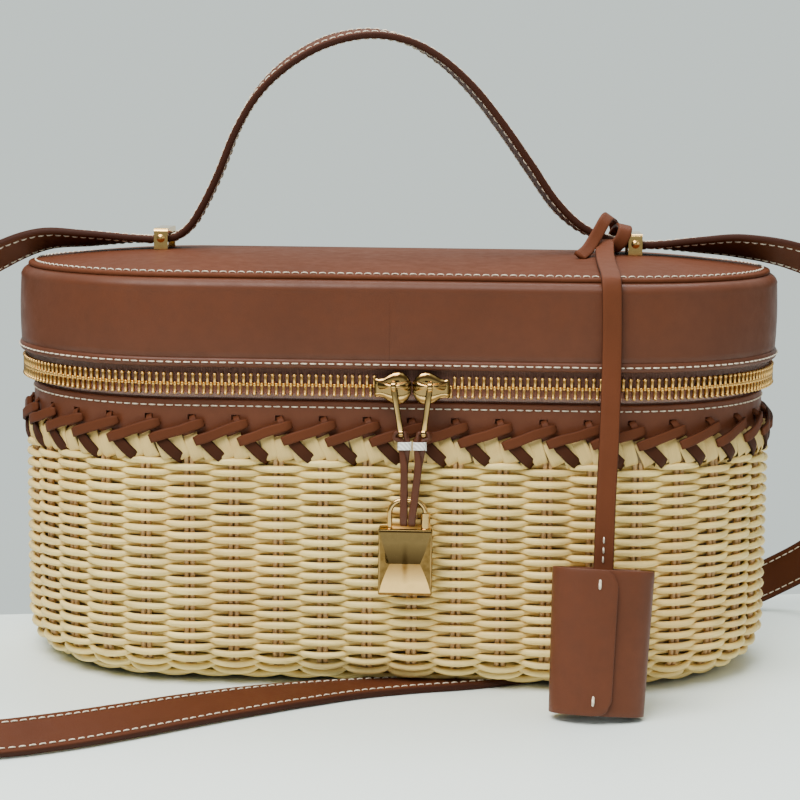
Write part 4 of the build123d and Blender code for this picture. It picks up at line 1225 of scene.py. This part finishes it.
STRAP_ROUTE = [
    (-84, 0, 148.1, 0, 1, 0), (-79, 0, 149.4, 0, 1, 0.03), (-74.5, 0, 153, 0, 1, 0.07),
    (-69.8, 0, 160.5, 0, 1, 0.12),
    (-64.5, 0, 171.5, 0, 1, 0.16), (-57.5, 0, 188.5, 0, 1, 0.2), (-49.5, 0, 201.5, 0, 1, 0.22),
    (-38.7, 0, 211.5, 0, 1, 0.22),
    (-25, 0, 218.8, 0, 1, 0.2), (-10, 0, 221.4, 0, 1, 0.12), (3, 0, 218.8, 0, 1, 0.0),
    (14, 0, 212.8, 0, 1, -0.1),
    (26, 0, 202.0, 0, 1, -0.2), (37, 0, 188.3, 0, 1, -0.27), (47, 0, 174.3, 0, 1, -0.3),
    (56, 0, 161.8, 0, 1, -0.24),
    (64.5, 0, 154.3, 0, 1, -0.12), (73, 0, 150.5, 0, 1, -0.03), (84, 0, 148.2, 0, 1, 0),
    (95, 0, 148.1, 0, 1, -0.1),
    (108, 0, 148.2, 0, 1, -0.34), (122, 0, 148.0, 0, 1, -0.6), (143, 0, 144.0, 0, 1, -0.8),
    (162, 3, 133.5, 0, 1, -0.7),
    (177, 11, 115, 0, 1, -0.45), (186, 25, 91, -0.1, 1, -0.2), (188, 42, 64, -0.4, 0.85, 0.2),
    (178, 58, 39, -0.55, 0.6, 0.5),
    (162, 67.5, 22, -0.5, 0.35, 0.75), (145, 70.5, 11.4, -0.38, 0.3, 0.85),
    (129, 65.0, 4.9, -0.45, 0.65, 0.45),
    (119, 59.0, 1.9, -0.55, 0.7, 0.15), (109, 47.0, 1.2, -0.7, 0.65, 0),
    (98, 27.0, 1.2, -0.85, 0.5, 0),
    (87, 6, 1.2, -0.85, 0.5, 0), (70, -20, 1.2, -0.7, 0.72, 0), (49, -40.5, 1.2, -0.5, 0.86, 0),
    (27, -52, 1.2, -0.35, 0.93, 0),
    (8, -58.5, 1.2, -0.33, 0.94, 0), leaning(-10, -66.5, -0.45, 0.89, 4),
    leaning(-27, -77.5, -0.55, 0.83, 11),
    leaning(-45, -91, -0.6, 0.8, 18), leaning(-63, -105.5, -0.62, 0.78, 23),
    leaning(-80, -119.5, -0.6, 0.8, 26),
    leaning(-97, -132, -0.5, 0.87, 28), leaning(-115, -141.5, -0.35, 0.94, 28),
    leaning(-136, -147, -0.12, 1, 28),
    leaning(-158, -145, 0.35, 0.94, 28), leaning(-178, -134, 0.65, 0.75, 28),
    leaning(-194, -116, 0.85, 0.5, 27),
    leaning(-203, -94, 0.97, 0.25, 22), leaning(-207, -70, 1, 0.05, 14),
    (-207.5, -48, 7.0, 1, 0.05, -0.02),
    (-206, -31, 22, 0.9, 0.35, -0.2), (-203, -19.5, 44, 0.65, 0.75, -0.3),
    (-197, -12, 69, 0.4, 0.9, -0.3),
    (-187.5, -7, 94, 0.2, 0.95, -0.4), (-174, -3.5, 116, 0.1, 0.9, -0.55),
    (-158, -1.2, 131.5, 0, 0.85, -0.7),
    (-143.9, 0, 141.2, 0, 0.82, -0.65), (-128, 0, 147.3, 0, 0.92, -0.5),
    (-112, 0, 147.8, 0, 1, -0.34), (-97, 0, 148.0, 0, 1, -0.1),
]


class BAG_OT_strap(bpy.types.Operator):
    """The long strap: two leathers sewn together in two rows."""

    bl_idname = "bag.strap"
    bl_label = "Strap"

    def execute(self, context):
        size, paint = sizes(), colours()
        rows = [tuple(v * MM for v in r[:3]) + tuple(r[3:]) for r in STRAP_ROUTE]
        line = smooth_line(rows, 8, closed=True)
        bm = bmesh.new()
        made = sweep(
            bm, line, STRAP_HALF_WIDTH, STRAP_HALF_THICK, flat_section(0.085, 3), closed=True,
        )
        hide = strap_leather(
            "Strap leather", shade(paint.leather, 0.86), paint.leather_edge, STRAP_HALF_WIDTH,
        )
        strap = piece("strap", bm, hide, None, ["shoulder_strap"])
        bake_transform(strap)

        lengths = [0.0]
        for a, b in zip(made, made[1:] + made[:1]):
            lengths.append(lengths[-1] + (b[0] - a[0]).length)

        def at(offset, face):
            def place(s):
                low, high = 0, len(lengths) - 1
                s %= lengths[-1]
                while high - low > 1:
                    half = (low + high) // 2
                    low, high = (half, high) if lengths[half] <= s else (low, half)
                share = (s - lengths[low]) / (lengths[low + 1] - lengths[low])
                a, b = made[low], made[(low + 1) % len(made)]
                across = a[2].lerp(b[2], share)
                up = a[3].lerp(b[3], share)
                point = a[0].lerp(b[0], share) + across * offset + up * (face * STRAP_HALF_THICK)
                return point, a[1], up * face

            return place

        lines = []
        for offset in (-STRAP_SEAM, STRAP_SEAM):
            for face in (-1, 1):
                stitches(
                    at(offset, face), lengths[-1], size.stitch_pitch, lines, radius=0.23,
                    lift=0.0002,
                )
        white = sewing_thread("Strap thread", paint.thread)
        seams = piece("strap_stitches", rods("strap_stitches", lines, 4), white, None)
        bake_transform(seams)
        return {"FINISHED"}


class BAG_OT_staples(bpy.types.Operator):
    """Domed screw heads on the gold staples that hold the strap"""

    bl_idname = "bag.staples"
    bl_label = "Staples"

    def execute(self, context):
        gold = plated("Staple gold", colours().gold, 0.10)
        bm = bmesh.new()
        for side in (-1, 1):
            for front in (-1, 1):
                for radius, out, depth in ((0.00150, 0.0, 0.35), (0.00115, 0.0002, 0.55)):
                    part = bmesh.ops.create_uvsphere(
                        bm, u_segments=20, v_segments=10, radius=radius,
                    )["verts"]
                    bmesh.ops.scale(bm, verts=part, vec=(1, depth, 1))
                    bmesh.ops.translate(
                        bm, verts=part, vec=(side * 0.084, front * (0.0100 + out), 0.1487),
                    )
        piece("staple_heads", bm, gold, "lid")
        for name in ("strap_loop_left", "strap_loop_right"):
            paint_node(name, gold)
        return {"FINISHED"}


def paint_node(name, material):
    """Gives a CAD node its finish, in every slot."""
    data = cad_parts[name].data
    data.materials.clear()
    data.materials.append(material)


# ---------------------------------------------------------------- thong and key bell
class BAG_OT_thong(bpy.types.Operator):
    """The thong, hitched round the strap and hanging in front"""

    bl_idname = "bag.thong"
    bl_label = "Thong"

    def execute(self, context):
        paint = colours()
        hide = strap_leather(
            "Thong leather", shade(paint.leather, 1.06), paint.leather_edge, THONG_HALF_WIDTH,
        )
        mouth = BELL_AT @ Vector((0, 0.0036, 0.047))
        middle = BELL_AT @ Vector((0, 0.0023, 0.036))
        foot = BELL_AT @ Vector((0, 0, 0.022))
        hang = [
            (73.6, -8.6, 149.6, 0.86), (73.3, -11.4, 149.2, 0.95), (73.0, -15.0, 147.4, 1.0),
            (72.6, -22, 146.2, 1.0), (72.2, -36, 144.6, 1.0), (72.2, -50, 143.1, 1.0),
            (72.4, -60.2, 141.7, 1.0),
            (72.5, -64.6, 140.3, 1.0), (72.7, -66.2, 136.9, 1.0), (72.9, -66.6, 130, 1.0),
            (73.1, -66.7, 121, 1.0), (73.0, -68.5, 105, 1.0), (72.6, -71.7, 88, 1.0),
            (71.8, -75.0, 68, 1.0),
        ]
        hang += [(*(place / MM), 1.0) for place in (mouth, middle, foot)]
        rows = [(x * MM, y * MM, z * MM, 1, 0, 0, w, 1) for x, y, z, w in hang]
        bm = bmesh.new()
        sweep(bm, smooth_line(rows, 6), THONG_HALF_WIDTH, THONG_HALF_THICK, flat_section(0.16, 3))
        tail = [
            (79.0, 9.4, 148.0), (78.6, 10.2, 151.0), (77.4, 7.6, 154.8), (75.8, 1.0, 157.2),
            (74.2, -5.0, 157.8), (72.8, -9.0, 156.4), (71.0, -11.6, 153.4), (69.0, -14.0, 150.2),
            (66.6, -18.2, 147.0), (63.8, -24.2, 145.2),
        ]
        rows = [(x * MM, y * MM, z * MM, 0.80, 0.0, -0.55, 1, 1) for x, y, z in tail]
        sweep(bm, smooth_line(rows, 5), 0.0022, THONG_HALF_THICK, flat_section(0.16, 3))
        loop = [
            (74.6, -8.2, 146.6), (76.6, -10.4, 147.6), (79.0, -11.2, 150.4), (80.2, -9.8, 153.6),
            (80.2, -4.0, 154.6), (79.2, 4.0, 153.6), (78.0, 9.2, 151.0), (77.0, 9.8, 147.4),
            (76.4, 4.0, 146.5), (75.8, -4.0, 146.6), (75.0, -9.0, 147.0),
        ]
        rows = [(x * MM, y * MM, z * MM, 0.95, 0.05, -0.2, 1, 1) for x, y, z in loop]
        sweep(bm, smooth_line(rows, 5), 0.0025, THONG_HALF_THICK, flat_section(0.16, 3))
        piece("thong", bm, hide, "lid", ["key_thong"])
        lines = []
        for x, z in ((71.3, 56.2), (71.2, 52.9), (71.1, 49.9)):
            y = -0.0758 - (0.0680 - z * MM) * 0.157
            front = Vector((x * MM, y, z * MM))
            thread = (
                (-0.0010, -0.0002, 0.2), (-0.0006, 0.0002, 0.28), (0.0006, 0.0002, 0.28),
                (0.0010, -0.0002, 0.2),
            )
            lines.append([(front + Vector((0, -h, d)), r) for d, h, r in thread])
        white = sewing_thread("Thong thread", paint.thread)
        piece("thong_stitches", rods("thong_stitches", lines, 6), white, "lid")
        return {"FINISHED"}


class BAG_OT_bell(bpy.types.Operator):
    """The key bell: one sheet wrapped over itself, with a rounded flap held by two stitches"""

    bl_idname = "bag.bell"
    bl_label = "Key bell"

    def execute(self, context):
        paint = colours()
        hide = leather("Bell leather", shade(paint.leather, 1.0))
        depth, reach = 0.0064, 0.0146
        height, corner = 0.0470, 0.0050
        turns, rows = 76, 22
        flap = 14  # columns that the flap's rounded corners reach over
        path = []
        for i in range(turns + 1):
            t = -math.pi / 2 + 0.20 - (2 * math.pi + 0.75) * i / turns
            a, b = math.cos(t), math.sin(t)
            over = 0.0015 * min(1.0, max(0.0, (t + 1.15 * math.pi) / 0.9))
            x = (reach + over * 0.4) * math.copysign(abs(a) ** 0.82, a)
            path.append((x, (depth + over) * math.copysign(abs(b) ** 0.95, b)))

        def place(i, j):
            x, y = path[i]
            share = j / rows
            distance = path[0][0] - x if i < flap else 1.0
            inset = 0.0
            if distance < corner:
                inset = corner - math.sqrt(max(0.0, corner**2 - (corner - distance) ** 2))
            z = inset + (height - 2 * inset) * share
            widen = 1.0 + 0.085 * z / height
            return BELL_AT @ Vector((x * widen, y, z))

        bm = bmesh.new()
        mapped(bm, len(path) - 1, rows, place)
        bmesh.ops.recalc_face_normals(bm, faces=bm.faces)
        bell = piece("bell", bm, hide, "bell", ["key_bell"], sharp=60)
        wall = bell.modifiers.new("Leather", "SOLIDIFY")
        wall.thickness = 0.0013
        wall.offset = 0.0
        edge = bell.modifiers.new("Edge", "BEVEL")
        edge.width = 0.0003
        edge.segments = 2
        edge.limit_method = "ANGLE"
        edge.angle_limit = math.radians(50)
        lines = []
        for x, z in ((-1.6, 42.2), (-1.9, 4.8)):
            line = []
            for d, h, r in (
                (-1.5, -0.4, 0.3), (-1.1, 0.15, 0.42), (0.0, 0.25, 0.45), (1.1, 0.15, 0.42),
                (1.5, -0.4, 0.3),
            ):
                line.append((BELL_AT @ Vector((x * MM, -depth - 0.0022 - h * MM, (z + d) * MM)), r))
            lines.append(line)
        white = sewing_thread("Bell thread", shade(paint.thread, 1.1))
        piece("bell_stitches", rods("bell_stitches", lines, 8), white, "bell")
        return {"FINISHED"}


class BAG_OT_insides(bpy.types.Operator):
    """Finishes for the inner pieces, and the soft leather hinge at the back"""

    bl_idname = "bag.insides"
    bl_label = "Insides and small metal"

    def execute(self, context):
        paint = colours()
        # brown lining cloth, painted darker than its own brown as painted shade for the gaps in the
        # weave that show it
        lining_painted_darker = cloth("Lining", (0.20, 0.13, 0.08))
        gold = plated("Small gold", shade(paint.gold, 0.72), 0.14)
        keyway = plated("Keyway brass", (0.20, 0.12, 0.05), 0.30)
        hide = leather("Collar leather", shade(paint.leather, 1.28))
        for name in ("basket_lining", "lid_lining"):
            paint_node(name, lining_painted_darker)
        paint_node("lid_board", board("Former board", (0.30, 0.20, 0.12)))
        paint_node("lower_collar", hide)
        for name in (
            "loop_rivet_caps", "key_ring", "padlock_key", "padlock_shackle", "shackle_sleeve",
        ):
            paint_node(name, gold)
        paint_node("lock_cylinder", keyway)
        bm = bmesh.new()
        heights = [0.1006, 0.1012, 0.1024, 0.1040, 0.1056, 0.1072, 0.1086, 0.1094, 0.1099]

        def place(i, j):
            x = -0.0600 + 0.1200 * i / 40
            swell = 0.0006 * math.sin(math.pi * j / 8)
            return Vector((x, 0.0636 + swell, heights[j]))

        mapped(bm, 40, 8, place)
        bmesh.ops.recalc_face_normals(bm, faces=bm.faces)
        bmesh.ops.solidify(bm, geom=list(bm.faces), thickness=0.0011)
        hinge = piece(
            "hinge_strip", bm, hide, None, ["back_hinge_strip"], sharp=60,
        )
        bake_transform(hinge)
        return {"FINISHED"}


# ---------------------------------------------------------------- stage
WALL_COLOUR, WALL_LIGHT = (0.52, 0.585, 0.560, 1), 1.55
TABLE_COLOUR = (0.86, 0.945, 0.91)
TABLE_CORNERS = ((-1.2, -1.6), (1.2, -1.6), (1.2, 0.300), (-1.2, -0.171))
CAMERA_AT = (0.0306, -0.7535, 0.1941)
CAMERA_WAY = (-0.0386, 0.990, -0.1358)
CAMERA_ROLL = 0.595  # degrees
CAMERA_LENS = 94.64


class BAG_OT_stage(bpy.types.Operator):
    """Pale table, soft lights and the camera"""

    bl_idname = "bag.stage"
    bl_label = "Stage"

    def execute(self, context):
        scene = context.scene
        world = bpy.data.worlds.new("Studio")
        world.use_nodes = True
        sky = Nodes(world.node_tree)
        way = sky.add("SeparateXYZ", Vector=sky.add("TexCoord").outputs["Generated"])
        sides = sky.span(sky.maths("ABSOLUTE", way.outputs[0]), 0.35, 0.95, 1.0, 0.45)
        front = sky.span(way.outputs[1], -0.6, 0.3, 0.42, 1.0)
        light = sky.maths(
            "MAXIMUM", sky.maths("MULTIPLY", sides, front), sky.span(way.outputs[2], 0.2, 0.9),
        )
        shade_of_sky = world.node_tree.nodes["Background"]
        shade_of_sky.inputs[0].default_value = WALL_COLOUR
        world.node_tree.links.new(sky.maths("MULTIPLY", light, WALL_LIGHT), shade_of_sky.inputs[1])
        scene.world = world
        bm = bmesh.new()
        for x, y in TABLE_CORNERS:
            bm.verts.new((x, y, -0.0002))
        bmesh.ops.contextual_create(bm, geom=bm.verts)
        mesh = bpy.data.meshes.new("floor")
        bm.to_mesh(mesh)
        bm.free()
        mesh.materials.append(stage_paint("Table", TABLE_COLOUR, 0.45))
        floor = bpy.data.objects.new("floor", mesh)
        scene.collection.objects.link(floor)
        for name, place, aim, width, height, power, tint in (
            ("key_light", (-0.35, -0.55, 1.05), (0, 0, 0.08), 0.9, 0.7, 24.0, (1.0, 0.98, 0.95)),
            ("top_light", (0.15, 0.35, 1.0), (0, 0, 0.1), 0.8, 0.5, 9.0, (1.0, 1.0, 1.0)),
            ("side_light", (1.0, -0.5, 0.45), (0, 0, 0.08), 0.5, 0.7, 1.6, (1.0, 0.97, 0.93)),
        ):
            light = bpy.data.lights.new(name, "AREA")
            light.shape = "RECTANGLE"
            light.size, light.size_y = width, height
            light.energy = power
            light.color = tint
            holder = bpy.data.objects.new(name, light)
            holder.location = place
            holder.rotation_euler = (Vector(aim) - Vector(place)).to_track_quat(
                "-Z", "Y",
            ).to_euler()
            scene.collection.objects.link(holder)
        camera = bpy.data.cameras.new("camera")
        camera.lens = CAMERA_LENS
        camera.sensor_width = 36
        camera.clip_start, camera.clip_end = 0.02, 20
        holder = bpy.data.objects.new("camera", camera)
        scene.collection.objects.link(holder)
        look = Vector(CAMERA_WAY).to_track_quat("-Z", "Y").to_matrix().to_4x4()
        roll = Matrix.Rotation(math.radians(CAMERA_ROLL), 4, "Z")
        holder.matrix_world = Matrix.Translation(CAMERA_AT) @ look @ roll
        scene.camera = holder
        return {"FINISHED"}


class BAG_PT_panel(bpy.types.Panel):
    """Sizes, colours and one button for each group of pieces"""

    bl_label = "Basket Box Bag"
    bl_idname = "BAG_PT_panel"
    bl_space_type = "VIEW_3D"
    bl_region_type = "UI"
    bl_category = "Basket Bag"

    def draw(self, context):
        layout = self.layout
        for group in (context.scene.bag_sizes, context.scene.bag_colours):
            box = layout.box()
            for name in group.bl_rna.properties.keys():
                if name not in ("rna_type", "name"):
                    box.prop(group, name)
        for operator in STEPS:
            layout.operator(operator.bl_idname)


STEPS = (
    BAG_OT_stage, BAG_OT_weave, BAG_OT_rim, BAG_OT_lacing, BAG_OT_lid, BAG_OT_seams, BAG_OT_zip,
    BAG_OT_sliders,
    BAG_OT_pulls, BAG_OT_padlock, BAG_OT_strap, BAG_OT_staples, BAG_OT_thong, BAG_OT_bell,
    BAG_OT_insides,
)
CLASSES = (BagSizes, BagColours, *STEPS, BAG_PT_panel)


def register():
    for cls in CLASSES:
        bpy.utils.register_class(cls)
    bpy.types.Scene.bag_sizes = bpy.props.PointerProperty(type=BagSizes)
    bpy.types.Scene.bag_colours = bpy.props.PointerProperty(type=BagColours)


def unregister():
    del bpy.types.Scene.bag_sizes
    del bpy.types.Scene.bag_colours
    for cls in reversed(CLASSES):
        bpy.utils.unregister_class(cls)


def main():
    register()
    bpy.ops.bag.stage()
    bpy.ops.bag.weave()
    bpy.ops.bag.rim()
    bpy.ops.bag.lacing()
    bpy.ops.bag.lid()
    bpy.ops.bag.seams()
    bpy.ops.bag.zip()
    bpy.ops.bag.sliders()
    bpy.ops.bag.pulls()
    bpy.ops.bag.padlock()
    bpy.ops.bag.strap()
    bpy.ops.bag.staples()
    bpy.ops.bag.thong()
    bpy.ops.bag.bell()
    bpy.ops.bag.insides()


if __name__ == "__main__":
    main()
